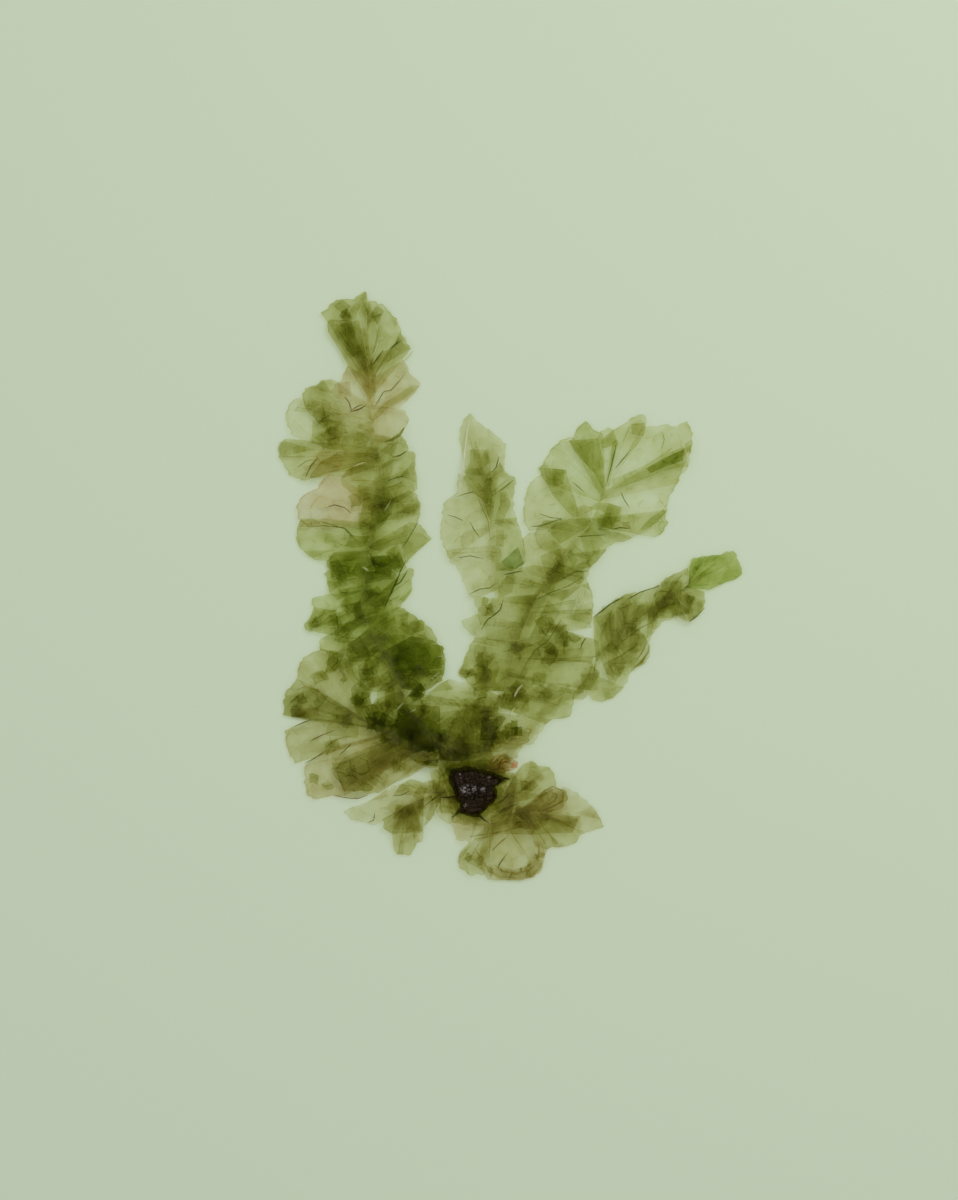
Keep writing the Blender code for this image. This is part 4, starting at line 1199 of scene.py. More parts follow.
# %% [markdown]
# ## Pleats, flaps and fine creases
#
# Where the surplus rim was pressed into a pleat, three layers lie in a wedge that runs
# from the root towards the rim, and one of its edges is a sharp crease. Some rims were
# folded back as a flap. Both are laid on the lobe's own form, within the space that its
# solid holds.

# %% Functions for pleats and flaps
PLEAT_LIFT = 0.15
CREASE_LAYERS = 1.5
CREASE_COVER = 0.08
CREASE_SIDES = np.array([[-0.11, 0.0, 0.11]])


def add_pleat(sheaf, lobe, middle, half, lean, reach_share, layers):
    """A wedge of folded layers, narrow at the root, and the crease along one edge."""
    share = np.linspace(0.03, reach_share, 12)
    width = half * (0.25 + 0.75 * share / reach_share)
    left = middle + lean * share - width
    side = np.linspace(0.0, 1.0, 4)
    arc = np.clip(left[:, None] + 2 * width[:, None] * side[None, :], 0.0, lobe[1][-1])
    rows = np.repeat(share[:, None], 4, axis=1)
    grid = surface(lobe, arc, rows)
    grid[..., 2] += PLEAT_LIFT
    sheaf.add(grid, np.stack([arc + 300, rows * 18], axis=-1), lobe[2], layers * thickness_at(grid) ** 2)
    edge = arc[:, :1] + CREASE_SIDES
    rows = np.repeat(share[:, None], 3, axis=1)
    grid = surface(lobe, np.clip(edge, 0.0, lobe[1][-1]), rows)
    grid[..., 2] += PLEAT_LIFT + 0.1
    layers = CREASE_LAYERS * thickness_at(grid) ** 2
    uv = np.stack([edge, rows * 18], axis=-1)
    sheaf.add(grid, uv, lobe[2], layers, CREASE_COVER, CREASE_THICKNESS)


def add_flap(sheaf, lobe, middle, half, depth, layers):
    """A stretch of rim folded back: straight inner edges that meet in a point."""
    side = np.linspace(-1.0, 1.0, 13)
    arc = np.clip(middle + half * side, 0.0, lobe[1][-1])
    inner = 1.0 - depth * (1 - np.abs(side)) - 0.01
    rows = inner[:, None] + (0.985 - inner)[:, None] * np.linspace(0.0, 1.0, 6)[None, :]
    arc = np.repeat(arc[:, None], 6, axis=1)
    grid = surface(lobe, arc, rows)
    grid[..., 2] += PLEAT_LIFT + 0.06
    sheaf.add(grid, np.stack([arc + 500, rows * 22], axis=-1), lobe[2], layers)


print(f"pleats lie {PLEAT_LIFT} mm above their lobe")

# %% [markdown]
# ### How many pleats
#
# Places and widths are drawn from a seeded generator, a few for each lobe. The pale and
# beige lobes dried smooth, so they get few or none, and two fronds are calmer.

# %% Make the pleats
PLEAT_SPACING = 7.5
FLAP_SPACING = 22.0
PLEAT_WIDTHS = [0.35, 0.8, 1.5, 2.2]
WIDTH_CHANCES = [0.35, 0.3, 0.2, 0.15]
PLEATED = {"p": 0.4, "b": 0.15, "k": 0.0, "h": 0.6}
CALM = {"frond_low_left": 0.6, "frond_centre": 0.6}

for name, lobes in lobes_of.items():
    sheaf = Sheaf()
    for lobe in lobes:
        length = lobe[1][-1]
        pleated = PLEATED.get(lobe[2], 1.0) * CALM.get(name, 1.0)
        for k in range(round(length / PLEAT_SPACING * pleated)):
            middle = chance.uniform(0.08, 0.92) * length
            half = chance.choice(PLEAT_WIDTHS, p=WIDTH_CHANCES)
            lean = chance.uniform(-2.0, 2.0)
            reach_share, layers = chance.uniform(0.55, 0.99), chance.uniform(0.5, 1.1)
            add_pleat(sheaf, lobe, middle, half, lean, reach_share, layers)
        for k in range(round(length / FLAP_SPACING * pleated)):
            middle = chance.uniform(0.15, 0.85) * length
            half, depth = chance.uniform(1.5, 4.0), chance.uniform(0.2, 0.5)
            add_flap(sheaf, lobe, middle, half, depth, chance.uniform(0.6, 1.1))
    sheaf.make(name.replace("frond", "pleats"), name, MEMBRANE_LOOK)

# %% [markdown]
# ## Midlines
#
# Along each midline the ribbon itself is crumpled. Two uneven bands lie over the core's
# form, and give the dark heart of each frond.

# %% Make the midline bands
HOLDFAST_CLEAR = 0.2
MIDLINE_BANDS = ((3.0, 0.5), (1.5, 0.5))


def ribbon_grid(line, half, lift, columns, step=0.8):
    """A band of places along a line, on top of the heap, with its own half width all along."""
    run = lengths(line)
    distance = np.linspace(0.0, run[-1], max(6, int(run[-1] / step)))
    middle = along(line, distance)
    ahead = np.gradient(middle, axis=0)
    ahead /= np.maximum(np.linalg.norm(ahead, axis=1), 1e-6)[:, None]
    side = np.column_stack([-ahead[:, 1], ahead[:, 0]])
    offset = np.linspace(-1.0, 1.0, columns)
    spread_out = half(distance / run[-1], distance)[:, None] * offset[None, :]
    flat = middle[:, None, :] + side[:, None, :] * spread_out[..., None]
    flat = off_holdfast(flat.reshape(-1, 2), HOLDFAST_CLEAR).reshape(flat.shape)
    height = heap_at(flat) + lift
    uv = np.stack([np.repeat(distance[:, None], columns, axis=1), spread_out], axis=-1)
    return np.concatenate([flat, height[..., None]], axis=2), uv


for name in FRONDS:
    sheaf = Sheaf()
    for spine_name in CORES[name]:
        line = plan(SPINES[spine_name])
        for band, (widest, layers) in enumerate(MIDLINE_BANDS):
            phase = chance.uniform(0, FULL_TURN)
            grid, uv = ribbon_grid(
                line,
                lambda part, run: widest
                * (1 - 0.45 * part)
                * (0.75 + 0.42 * ripple(run, 9.0, phase))
                * np.clip(6 * (1.02 - part), 0.1, 1.0),
                -0.12 + 0.1 * band,
                7,
            )
            grid[..., 2] += 0.05 * ripple(uv[..., 0] + 2 * uv[..., 1], 4.0, phase)
            sheaf.add(grid, uv, "g", layers * thickness_at(grid) ** 2)
    sheaf.make(name.replace("frond", "midline"), name, MEMBRANE_LOOK)

# %% [markdown]
# ## Large folds
#
# These folds are large enough to be read one by one: darker patches with two clear
# sides. Each row has both, because a strip between two facing edges can bend and widen
# as a real fold does, and a stripe of one width can't.

# %% Table of the large folds
# Large folds that lie on top: two facing edges, tone and layers
FOLDS = [
    ("336,325 337,338 343,350 353,362 362,376", "368,330 369,342 370,354 372,366 376,378", "g", 0.9),
    ("341,324 342,336 346,348 353,358", "352,324 355,336 360,348 368,360", "v", 0.9),
    ("353,364 362,384 372,408", "376,376 376,392 374,408", "o", 0.6),
    ("402,342 391,350 383,352 376,360 371,374", "411,350 398,357 384,365 378,372 373,386", "g", 1.2),
    ("411,386 398,395 384,404 375,414", "421,386 404,400 388,409 372,424", "g", 0.9),
    ("338,385 350,382", "340,396 352,398", "n", 0.5),
    ("311,387 320,387 332,396 345,418", "308,408 314,416 325,420 345,426", "g", 0.6),
    ("313,421 330,420 352,428 370,438", "312,443 330,450 350,452 366,448", "v", 0.7),
    ("320,452 350,452", "302,477 340,472", "n", 0.3),
    ("394,436 390,455 386,472 374,482 358,492", "399,440 394,460 391,480 379,492 362,502", "g", 0.8),
    ("383,487 400,485 415,487", "384,503 400,504 413,502", "g", 0.9),
    ("365,492 380,496 394,500", "359,525 372,531 392,514", "v", 1.0),
    ("390,504 418,504", "386,520 400,520 415,516", "g", 0.7),
    ("405,525 431,540", "400,541 408,560", "g", 0.8),
    ("330,562 350,558 375,556 398,560", "333,581 350,577 375,573 403,567", "v", 0.8),
    ("362,585 392,600", "372,640 400,640", "g", 1.2),
    ("400,640 440,645", "395,672 443,668", "v", 0.9),
    ("290,709 318,707", "292,717 320,717", "o", 1.5),
    ("397,703 440,706", "400,748 442,752", "v", 1.8),
    ("440,712 476,706", "444,756 480,752", "g", 1.3),
    ("482,718 498,718", "480,740 497,739", "v", 2.0),
    ("372,740 398,748", "366,764 392,770", "g", 0.6),
    ("396,804 420,806", "393,828 420,830", "g", 1.0),
    ("470,450 470,462 465,474 473,484 480,492", "489,450 490,462 491,474 491,484 490,492", "g", 1.1),
    ("481,459 487,449", "484,466 490,464", "v", 0.6),
    ("489,472 484,483 484,500 489,520", "500,471 497,485 495,500 492,522", "g", 1.0),
    ("485,479 492,478", "486,503 492,503", "v", 0.8),
    ("500,492 500,505 496,515 495,524", "507,492 511,505 505,516 502,527", "g", 1.1),
    ("496,530 504,530", "496,546 504,547", "o", 0.6),
    ("501,562 509,555 518,547", "508,569 516,569 524,564", "u", 1.6),
    ("568,441 574,452 585,464 594,474 601,488", "598,439 600,450 603,462 604,475 605,488", "g", 1.4),
    ("600,442 606,436 613,430", "602,449 609,447 617,441", "g", 1.4),
    ("613,441 610,460 604,487", "618,441 614,460 608,487", "g", 1.0),
    ("612,480 640,468 660,456 683,448", "612,490 640,481 662,471 688,467", "g", 0.8),
    ("645,469 662,459 683,450", "650,474 666,467 682,461", "v", 1.2),
    ("544,468 546,484 553,496 564,508 572,518", "566,470 568,480 572,492 576,504 579,516", "g", 1.2),
    ("552,469 565,470", "553,487 563,484", "v", 0.7),
    ("588,508 597,503 608,503 621,508", "592,510 600,510 606,516 612,529", "g", 1.0),
    ("608,504 621,507", "598,530 620,521", "g", 1.1),
    ("596,517 610,512", "598,531 612,530", "v", 0.7),
    ("621,523 628,522", "623,529 630,530", "n", 0.9),
    ("638,531 648,520 663,509", "644,530 655,524 665,512", "g", 1.2),
    ("630,424 645,423", "632,435 643,437", "o", 0.8),
    ("684,444 691,440", "686,453 690,455", "g", 0.7),
    ("547,530 586,512", "560,544 592,524", "g", 0.8),
    ("546,578 588,560", "550,586 590,566", "g", 1.3),
    ("540,556 560,548", "548,584 566,580", "g", 1.2),
    ("548,600 560,612", "528,640 540,645", "g", 1.0),
    ("512,640 536,645", "508,676 524,680", "g", 1.0),
    ("545,650 584,648", "540,664 580,662", "g", 0.9),
    ("478,652 484,664 479,677 484,692", "493,655 500,668 495,680 501,690", "g", 1.0),
    ("660,582 682,580", "662,600 680,600", "g", 1.2),
    ("645,602 680,600", "648,618 676,618", "g", 1.0),
    ("580,674 598,672", "582,690 598,690", "g", 1.0),
    ("616,640 640,636", "610,664 630,662", "g", 0.6),
    ("490,815 536,813", "492,834 540,833", "g", 1.3),
    ("536,813 580,816", "540,833 572,832", "g", 1.3),
    ("512,790 540,794", "508,808 534,812", "g", 1.2),
    ("442,762 462,760 482,759 502,758", "450,780 466,774 484,772 506,774", "v", 0.9),
    ("448,756 470,758 492,755", "446,776 468,772 492,778", "g", 0.8),
    ("466,752 490,748", "470,776 500,770", "g", 1.2),
    ("433,783 439,796 441,812", "458,775 456,795 460,814", "g", 1.3),
    ("444,790 442,806", "464,792 462,812", "g", 1.2),
    ("496,778 508,776 522,772", "498,802 510,802 522,800", "g", 0.5),
    ("490,784 506,780", "486,814 508,812", "g", 0.4),
    ("450,812 470,818 492,818", "453,828 471,830 494,827", "h", 0.3),
    ("602,606 620,603 640,601", "600,640 618,650 634,646", "g", 0.3),
    ("618,604 634,602", "614,650 632,640", "g", 0.4),
    ("634,602 652,606 655,618", "628,652 640,652 650,640", "g", 1.0),
    ("594,664 612,658 640,648", "590,684 612,680 634,664", "g", 0.4),
    ("684,592 700,600", "688,622 704,608", "g", 1.0),
    ("286,696 308,690 330,700", "288,716 308,712 326,716", "g", 0.4),
    ("330,716 360,712", "326,735 358,738", "g", 0.9),
    ("332,752 356,748 374,756", "334,776 352,786 370,780", "g", 0.5),
    ("546,792 556,786 566,792", "548,812 558,814 567,808", "h", 0.5),
    ("594,617 604,614 614,612", "606,640 612,645 616,648", "g", 0.8),
    ("616,608 630,604 643,606", "616,648 628,652 638,646", "g", 0.6),
    ("622,652 630,648 638,646", "620,664 630,664 636,658", "g", 0.9),
    ("576,508 584,505 592,508", "576,522 584,527 590,522", "p", 0.9),
    ("552,572 540,588 528,606 520,622", "562,578 550,594 538,612 530,628", "g", 0.7),
    ("560,620 548,636 534,650 522,670", "566,624 553,641 540,655 527,674", "g", 0.8),
    ("470,853 478,856 486,862", "468,862 477,866 485,872", "g", 0.8),
    ("486,864 500,869 514,869 528,865 538,858", "487,872 500,877 515,878 530,875 542,866", "h", 1.2),
    ("532,840 537,848 538,857", "539,840 544,848 545,858", "h", 0.9),
    ("419,704 430,702 440,704", "420,722 430,724 440,721", "h", 0.9),
    ("396,716 408,714 420,720", "398,734 412,738 426,734", "v", 1.1),
    ("464,698 472,697 480,700", "463,718 472,722 480,720", "v", 0.5),
]

print(len(FOLDS), "large folds")

# %% [markdown]
# ## Crumpled places
#
# In the dark parts dozens of small folds lie over one another, too many to be read one by
# one. A row only says where such a place is and how dark it is.

# %% Table of the crumpled places
# Where the blade lies in small crumpled facets: place, radius in plan steps, layers
CRUMPLED = [
    ("337,312", 12, 0.4), ("352,309", 12, 0.5), ("372,312", 12, 1.0), ("324,430", 18, 1.6),
    ("370,450", 18, 0.3), ("392,497", 18, 0.3), ("366,510", 18, 1.4), ("370,540", 18, 0.8),
    ("338,576", 14, 1.3), ("350,565", 16, 0.6), ("386,565", 16, 2.2), ("356,600", 14, 1.4),
    ("368,605", 16, 1.4), ("345,650", 18, 1.6), ("342,628", 14, 1.3), ("372,650", 20, 1.6),
    ("388,645", 14, 0.9), ("395,625", 14, 0.4), ("410,625", 12, 0.8), ("420,650", 12, 0.8),
    ("310,682", 16, 0.4), ("372,680", 16, 1.6), ("392,685", 18, 1.5), ("420,690", 16, 2.0),
    ("378,715", 16, 2.0), ("395,722", 20, 3.2), ("350,720", 14, 1.6), ("415,728", 18, 3.6),
    ("430,745", 16, 2.6), ("450,746", 14, 3.0), ("460,712", 14, 0.7), ("476,712", 14, 1.6),
    ("488,730", 13, 3.2), ("508,730", 11, 2.6), ("488,738", 14, 0.9), ("490,650", 12, 1.4),
    ("486,686", 14, 1.9), ("512,702", 14, 1.7), ("530,690", 16, 0.9), ("548,692", 14, 1.4),
    ("535,665", 16, 0.8), ("555,650", 16, 1.5), ("562,630", 14, 1.4), ("300,700", 12, 0.8),
    ("325,705", 14, 1.0), ("340,745", 16, 0.5), ("345,768", 14, 1.1), ("372,782", 12, 1.0),
    ("440,760", 12, 2.4), ("425,790", 12, 0.8), ("408,815", 12, 1.0), ("512,805", 14, 0.7),
    ("525,778", 12, 1.0), ("520,820", 14, 1.8), ("548,800", 12, 0.4), ("545,820", 12, 0.9),
    ("640,632", 12, 0.7), ("655,605", 12, 0.7), ("690,606", 10, 1.0), ("670,590", 12, 0.7),
    ("622,658", 14, 0.6), ("600,668", 12, 0.9), ("476,858", 9, 0.6), ("490,868", 6, 0.5),
    ("504,872", 6, 0.5), ("518,873", 6, 0.6), ("531,869", 6, 0.5), ("539,853", 6, 0.4),
    ("462,758", 12, 1.4), ("402,758", 12, 1.3), ("522,650", 12, 1.2), ("484,664", 11, 1.1),
    ("522,828", 14, 1.8), ("482,604", 12, 0.9), ("562,562", 12, 1.0), ("318,622", 14, 0.7),
    ("424,640", 12, 0.7), ("424,680", 12, 0.8), ("668,606", 12, 0.8), ("506,708", 12, 1.1),
    ("364,706", 13, 2.0), ("424,704", 10, 1.0), ("648,628", 10, 0.7), ("608,670", 12, 0.9),
    ("546,624", 12, 1.0), ("322,785", 12, 0.6), ("341,432", 14, 1.0), ("362,666", 14, 1.4),
    ("344,668", 12, 0.9), ("464,668", 10, 0.9), ("384,732", 12, 1.6), ("464,730", 12, 1.2),
    ("684,604", 10, 0.8), ("344,588", 10, 0.9),
]

print(len(CRUMPLED), "crumpled places")

# %% [markdown]
# ## Creases and glints
#
# A crease is a fine dark line where the film is folded on itself, darkened further as painted
# shadow beside the raised fold. A glint is a painted highlight: a pale ribbon where a folded
# edge catches the light.

# %% Tables of creases and glints
# Creases as lines with a width in millimetres, a tone and layers: folded film, darker still
# as painted shadow beside the raised fold
CREASES_AND_SHADE = [
    ("369,304 369,318 368,332", 1.0, "g", 1.3), ("375,408 384,392 391,391 405,375", 0.3, "v", 3.0),
    ("345,397 350,404 352,412", 0.4, "n", 3.0), ("350,413 360,410 367,406", 0.4, "n", 3.0),
    ("325,508 335,505 345,508 352,514", 0.35, "n", 3.0),
    ("307,527 325,526 345,528 362,545", 0.3, "v", 2.5), ("392,458 400,456 408,451", 0.35, "v", 4.0),
    ("392,588 401,582 408,570", 0.4, "v", 4.0), ("406,560 399,576 391,594 384,610", 0.5, "v", 3.0),
    ("405,428 400,436 392,441 385,443", 0.9, "v", 2.0), ("401,341 396,345 390,350", 0.35, "v", 4.0),
    ("384,350 378,358 372,367", 0.5, "v", 2.5), ("388,481 396,478 406,476", 0.35, "v", 3.0),
    ("419,521 411,535 401,550", 0.3, "v", 2.5), ("322,522 345,529 362,548", 0.3, "v", 2.0),
    ("364,405 357,408 350,412", 0.3, "n", 2.0), ("319,458 312,466 306,478", 0.4, "v", 2.5),
    ("298,468 306,462 314,460", 0.3, "v", 2.0), ("295,726 304,722 312,719", 0.3, "v", 3.0),
    ("310,741 322,735 335,730", 0.3, "n", 3.0), ("305,763 316,757 327,750", 0.3, "v", 3.0),
    ("340,755 347,748 352,743", 0.3, "v", 3.0), ("290,703 296,698 300,695", 0.3, "v", 3.0),
    ("333,795 345,797 358,798 369,794", 0.35, "n", 3.0), ("368,822 374,820 375,812", 0.3, "v", 3.0),
    ("393,795 402,794 410,790", 0.3, "v", 3.0), ("447,515 455,517 463,521", 0.3, "v", 2.5),
    ("470,522 474,530 480,538", 0.3, "v", 2.5), ("458,558 470,556 484,559", 0.3, "v", 2.5),
    ("457,497 466,494 475,492", 0.3, "v", 2.5), ("499,457 496,468 492,473", 0.35, "v", 3.5),
    ("477,496 482,508 488,521 490,538", 0.3, "g", 1.8), ("514,480 506,486 500,491", 0.3, "v", 2.0),
    ("503,575 512,573 523,571", 0.4, "v", 3.0), ("616,445 611,466 605,487", 0.35, "v", 3.0),
    ("631,450 622,460 614,470", 0.3, "v", 3.0), ("620,492 624,500 629,508", 0.3, "v", 3.0),
    ("572,482 578,487 584,493", 0.3, "v", 2.0), ("611,530 619,528 627,529", 0.35, "v", 3.5),
    ("539,514 550,518 562,519", 0.3, "v", 2.5), ("530,527 541,526 552,522 562,519", 0.35, "v", 2.5),
    ("576,537 590,536 606,535", 0.35, "v", 2.5), ("662,432 664,440 661,450", 0.3, "g", 1.5),
    ("562,618 556,628 548,640 541,646 535,650 527,662 520,675", 0.35, "v", 1.8),
    ("503,600 500,610 494,615 488,619 484,625 481,630", 0.45, "v", 2.8),
    ("470,594 480,589 490,588 496,583", 0.35, "v", 2.5),
    ("580,650 582,643 586,637", 0.35, "v", 3.5),
    ("535,600 552,592 566,587 583,577", 0.35, "v", 1.8), ("560,580 574,572 588,571", 0.4, "v", 2.2),
    ("500,652 520,648 545,640", 0.5, "g", 1.5), ("545,664 560,660 588,661", 0.5, "g", 1.7),
    ("600,640 606,622 612,610", 0.3, "g", 1.8), ("626,600 640,592 659,586", 0.35, "v", 3.4),
    ("604,664 620,656 640,642", 0.4, "g", 2.2), ("469,835 490,832 508,830", 0.35, "h", 2.6),
    ("492,850 500,842 508,836", 0.35, "o", 2.2), ("498,868 500,863 503,858", 0.3, "n", 3.0),
    ("484,862 490,871 500,877 516,879 530,876 539,869 542,860", 1.1, "h", 1.4),
    ("494,864 503,871 516,873 529,870 537,862", 0.6, "h", 1.8),
    ("474,846 478,853 483,858 482,866", 0.5, "h", 1.5), ("498,866 502,860 507,853", 0.4, "o", 1.8),
    ("536,838 539,848 537,858", 0.5, "h", 2.0), ("474,838 484,836 496,832 512,830", 0.4, "h", 2.0),
    ("540,810 552,806 562,800 563,790 553,786 543,790", 0.6, "o", 2.0),
    ("546,804 554,800 557,794 551,791", 0.4, "o", 2.0),
    ("500,815 516,812 534,814 550,818 572,822", 0.6, "h", 2.0),
    ("505,830 520,826 540,828", 0.5, "h", 2.0), ("652,622 640,628 626,638 612,650", 0.4, "g", 1.8),
    ("688,622 696,616 704,608", 0.5, "v", 2.5), ("597,615 610,604 624,597", 0.3, "v", 2.0),
    ("297,690 306,686 318,690 326,698", 0.3, "o", 2.0),
    ("325,748 332,742 340,738 352,736", 0.3, "h", 2.2),
    ("350,758 352,768 362,774 370,770 368,760 358,756", 0.5, "v", 1.8),
    ("345,790 352,782 360,786", 0.3, "h", 2.2), ("633,668 641,662 648,652 649,644", 0.7, "o", 1.8),
    ("636,660 642,652 646,643", 0.5, "o", 1.6), ("592,618 600,612 610,604 622,597", 0.4, "v", 2.6),
    ("490,866 492,871 490,877", 0.4, "o", 1.6), ("510,868 512,873 509,878", 0.4, "o", 1.6),
    ("524,866 527,871 526,877", 0.4, "o", 1.6), ("424,806 436,796 446,790", 0.35, "v", 3.0),
    ("492,806 502,800 510,792", 0.3, "v", 2.6), ("497,812 508,806 520,802", 0.3, "v", 2.4),
]

# Painted highlights along folded edges, as pale lines with a width in millimetres and a tone
PAINTED_GLINTS = [
    ("374,332 380,326 385,322", 0.3, "v"), ("371,360 376,350 379,340", 0.5, "v"),
    ("392,393 386,398 379,402", 0.3, "v"), ("393,460 400,458 407,454", 0.3, "v"),
    ("318,505 324,506 330,508", 0.6, "v"), ("353,468 360,465 367,463", 0.6, "v"),
    ("391,501 388,506 384,512", 0.4, "v"), ("404,362 410,356 413,351", 0.4, "v"),
    ("404,376 406,371 405,367", 0.5, "v"), ("378,341 381,339 384,338", 0.7, "v"),
    ("343,396 346,397 348,397", 0.4, "v"), ("363,567 366,569 369,571", 0.9, "v"),
    ("438,657 442,656 444,655", 0.35, "v"), ("431,679 436,675 440,671", 0.3, "v"),
    ("431,684 438,678 442,674", 0.3, "v"), ("410,712 414,710 416,708", 0.5, "v"),
    ("396,711 400,706 404,702", 0.4, "v"), ("458,497 463,470 466,440 470,415", 0.6, "p"),
    ("514,697 518,689 523,684", 1.1, "v"), ("572,615 576,602 580,590", 0.7, "v"),
    ("580,612 584,600 585,590", 0.5, "v"), ("557,589 570,588 582,583", 0.4, "v"),
    ("524,729 527,730 530,731", 0.6, "v"), ("531,733 533,732 535,732", 0.6, "v"),
    ("510,716 512,711 515,707", 0.7, "v"), ("508,573 516,571 522,570", 0.4, "v"),
    ("490,770 500,767 507,764", 0.3, "v"),
]

print(len(CREASES_AND_SHADE), "creases,", len(PAINTED_GLINTS), "glints")

# %% [markdown]
# ## Folds, facets and creases
#
# The large folds are strips between two facing edges, laid on top of the heap. Creases
# and glints are narrow ribbons that taper at both ends. The small facets of a crumpled
# place are drawn from the seeded generator, more of them where it is darker.

# %% Functions for folds, facets and creases


def strip_grid(edge, other, count=16, across=10):
    """A grid between two lines of places, each gone along evenly, laid on the heap."""
    share = np.linspace(0.0, 1.0, count)
    near, far = (along(line, share * lengths(line)[-1]) for line in (edge, other))
    side = np.linspace(0.0, 1.0, across)[None, :, None]
    flat = near[:, None, :] * (1 - side) + far[:, None, :] * side
    flat = off_holdfast(flat.reshape(-1, 2), HOLDFAST_CLEAR).reshape(flat.shape)
    height = heap_at(flat) - 0.05
    return np.concatenate([flat, height[..., None]], axis=2)


def patch(a, b, c, d, count):
    """Places in even steps between four corners, and their two shares of the way."""
    u, v = np.meshgrid(np.linspace(0, 1, count), np.linspace(0, 1, count), indexing="ij")
    u, v = u[..., None], v[..., None]
    return (a * (1 - u) + b * u) * (1 - v) + (d * (1 - u) + c * u) * v, u, v


def facet_grid(middle, radius, count=7):
    """A crumpled facet: four corners out of true, with bowed sides, a little into the heap."""
    half = radius * np.array([0.55, 0.35]) * chance.uniform(0.7, 1.3, 2)
    corners = np.array([(-1, -1), (1, -1), (1, 1), (-1, 1)]) * half
    corners = corners * (1 + chance.uniform(-0.4, 0.4, (4, 2)))
    turn = chance.uniform(0, math.pi)
    corners = corners @ np.array([(math.cos(turn), math.sin(turn)), (-math.sin(turn), math.cos(turn))])
    a, b, c, d = corners + middle
    flat, u, v = patch(a, b, c, d, count)
    bow = chance.uniform(-0.25, 0.25, 2) * radius
    flat = flat + (b - a) / np.linalg.norm(b - a) * bow[0] * v * (1 - v) * 2
    flat = flat + (d - a) / np.linalg.norm(d - a) * bow[1] * u * (1 - u) * 2
    height = heap_at(flat) - chance.uniform(0.0, 0.35)
    return np.concatenate([flat, height[..., None]], axis=2)


def wrinkle(middle, radius):
    """A short bent line of places."""
    turn = chance.uniform(0, math.pi)
    ahead = np.array([math.cos(turn), math.sin(turn)])
    half = radius * chance.uniform(0.25, 0.6)
    bend = np.array([-ahead[1], ahead[0]]) * half * chance.uniform(-0.4, 0.4)
    return np.array([middle - ahead * half, middle + bend, middle + ahead * half])


def spindle(width):
    """The half width of a crease along its line: tapered at both ends."""
    return lambda part, run: width / 2 * np.sqrt(np.clip(4 * part * (1 - part), 0.03, 1))


def on_tissue(grid):
    """Whether every place of a grid lies over tissue, and clear of the holdfast."""
    flat = grid[..., :2].reshape(-1, 2)
    row, column = laid.cells(flat)
    clear = np.allclose(off_holdfast(flat, HOLDFAST_CLEAR), flat)
    return clear and bool((laid.top[row, column] > 0.0).all())


def frond_under(place):
    """The frond whose lobes come nearest to a place in plan."""
    best = None
    for name, lobes in lobes_of.items():
        for lobe in lobes:
            apart = np.linalg.norm(lobe[0][..., :2] - place, axis=2).min()
            if best is None or apart < best[0]:
                best = (apart, name)
    return best[1]


print("the first fold lies on", frond_under(plan(FOLDS[0][0])[0]))

# %% [markdown]
# ### Lay them on the fronds
#
# A facet or a wrinkle that would hang over bare floor or reach the holdfast is drawn
# again or left out. Where a place is very dark, each facet stands for more layers.

# %% Make the folds, facets and creases
FACET_LAYERS = 0.22
FACET_TRIES = 12
VERY_DARK = 1.9
FULL_STRENGTH = 3.0

sheaves = {name: Sheaf() for name in FRONDS}
for edge, other, tone, layers in FOLDS:
    grid = strip_grid(plan(edge), plan(other))
    sheaves[frond_under(grid[8, 5, :2])].add(grid, grid[..., :2], tone, layers)
for text, radius, wanted in CRUMPLED:
    middle = plan(text)[0]
    name = frond_under(middle)
    radius *= PLAN_SCALE
    strong = 1.0 + min(wanted, FULL_STRENGTH) / FULL_STRENGTH
    for k in range(max(2, round(wanted / FACET_LAYERS / strong))):
        for attempt in range(FACET_TRIES):
            away = radius * math.sqrt(chance.uniform(0.0, 0.9))
            turn = chance.uniform(0, 2 * math.pi)
            spot = middle + away * np.array([math.cos(turn), math.sin(turn)])
            grid = facet_grid(spot, radius)
            if on_tissue(grid):
                tone = "v" if wanted > VERY_DARK and k % 2 else "g"
                layers = min(strong, 5.0 * wanted) * chance.uniform(0.4, 1.4)
                sheaves[name].add(grid, grid[..., :2] + 7 * k, tone, layers)
                break
        if k % 2 == 0 or wanted > VERY_DARK:
            # A wrinkle is a short dark ribbon: partly folded film, partly painted shade
            line = wrinkle(spot, radius)
            grid, uv = ribbon_grid(line, spindle(chance.uniform(0.22, 0.45)), 0.03, 3, 0.5)
            if on_tissue(grid):
                layers = strong * chance.uniform(1.0, 2.6)
                sheaves[name].add(grid, uv, "g", layers, CREASE_COVER, CREASE_THICKNESS)
# Each crease is a dark ribbon: partly folded film, partly painted shadow of the ridge
for line, width, tone, layers in CREASES_AND_SHADE:
    line = plan(line)
    grid, uv = ribbon_grid(line, spindle(width), 0.02, 3, 0.5)
    sheaf = sheaves[frond_under(line.mean(axis=0))]
    sheaf.add(grid, uv, tone, layers, 0.12, CREASE_THICKNESS)
# Each glint is a pale ribbon that is mostly surface: a painted highlight
for line, width, tone in PAINTED_GLINTS:
    line = plan(line)
    grid, uv = ribbon_grid(line, spindle(0.75 * width), 0.05, 3, 0.5)
    sheaf = sheaves[frond_under(line.mean(axis=0))]
    sheaf.add(grid, uv, tone, 0.5, 0.40, CREASE_THICKNESS)
for name, sheaf in sheaves.items():
    if sheaf.count:
        sheaf.make(name.replace("frond", "folds"), name, MEMBRANE_LOOK)
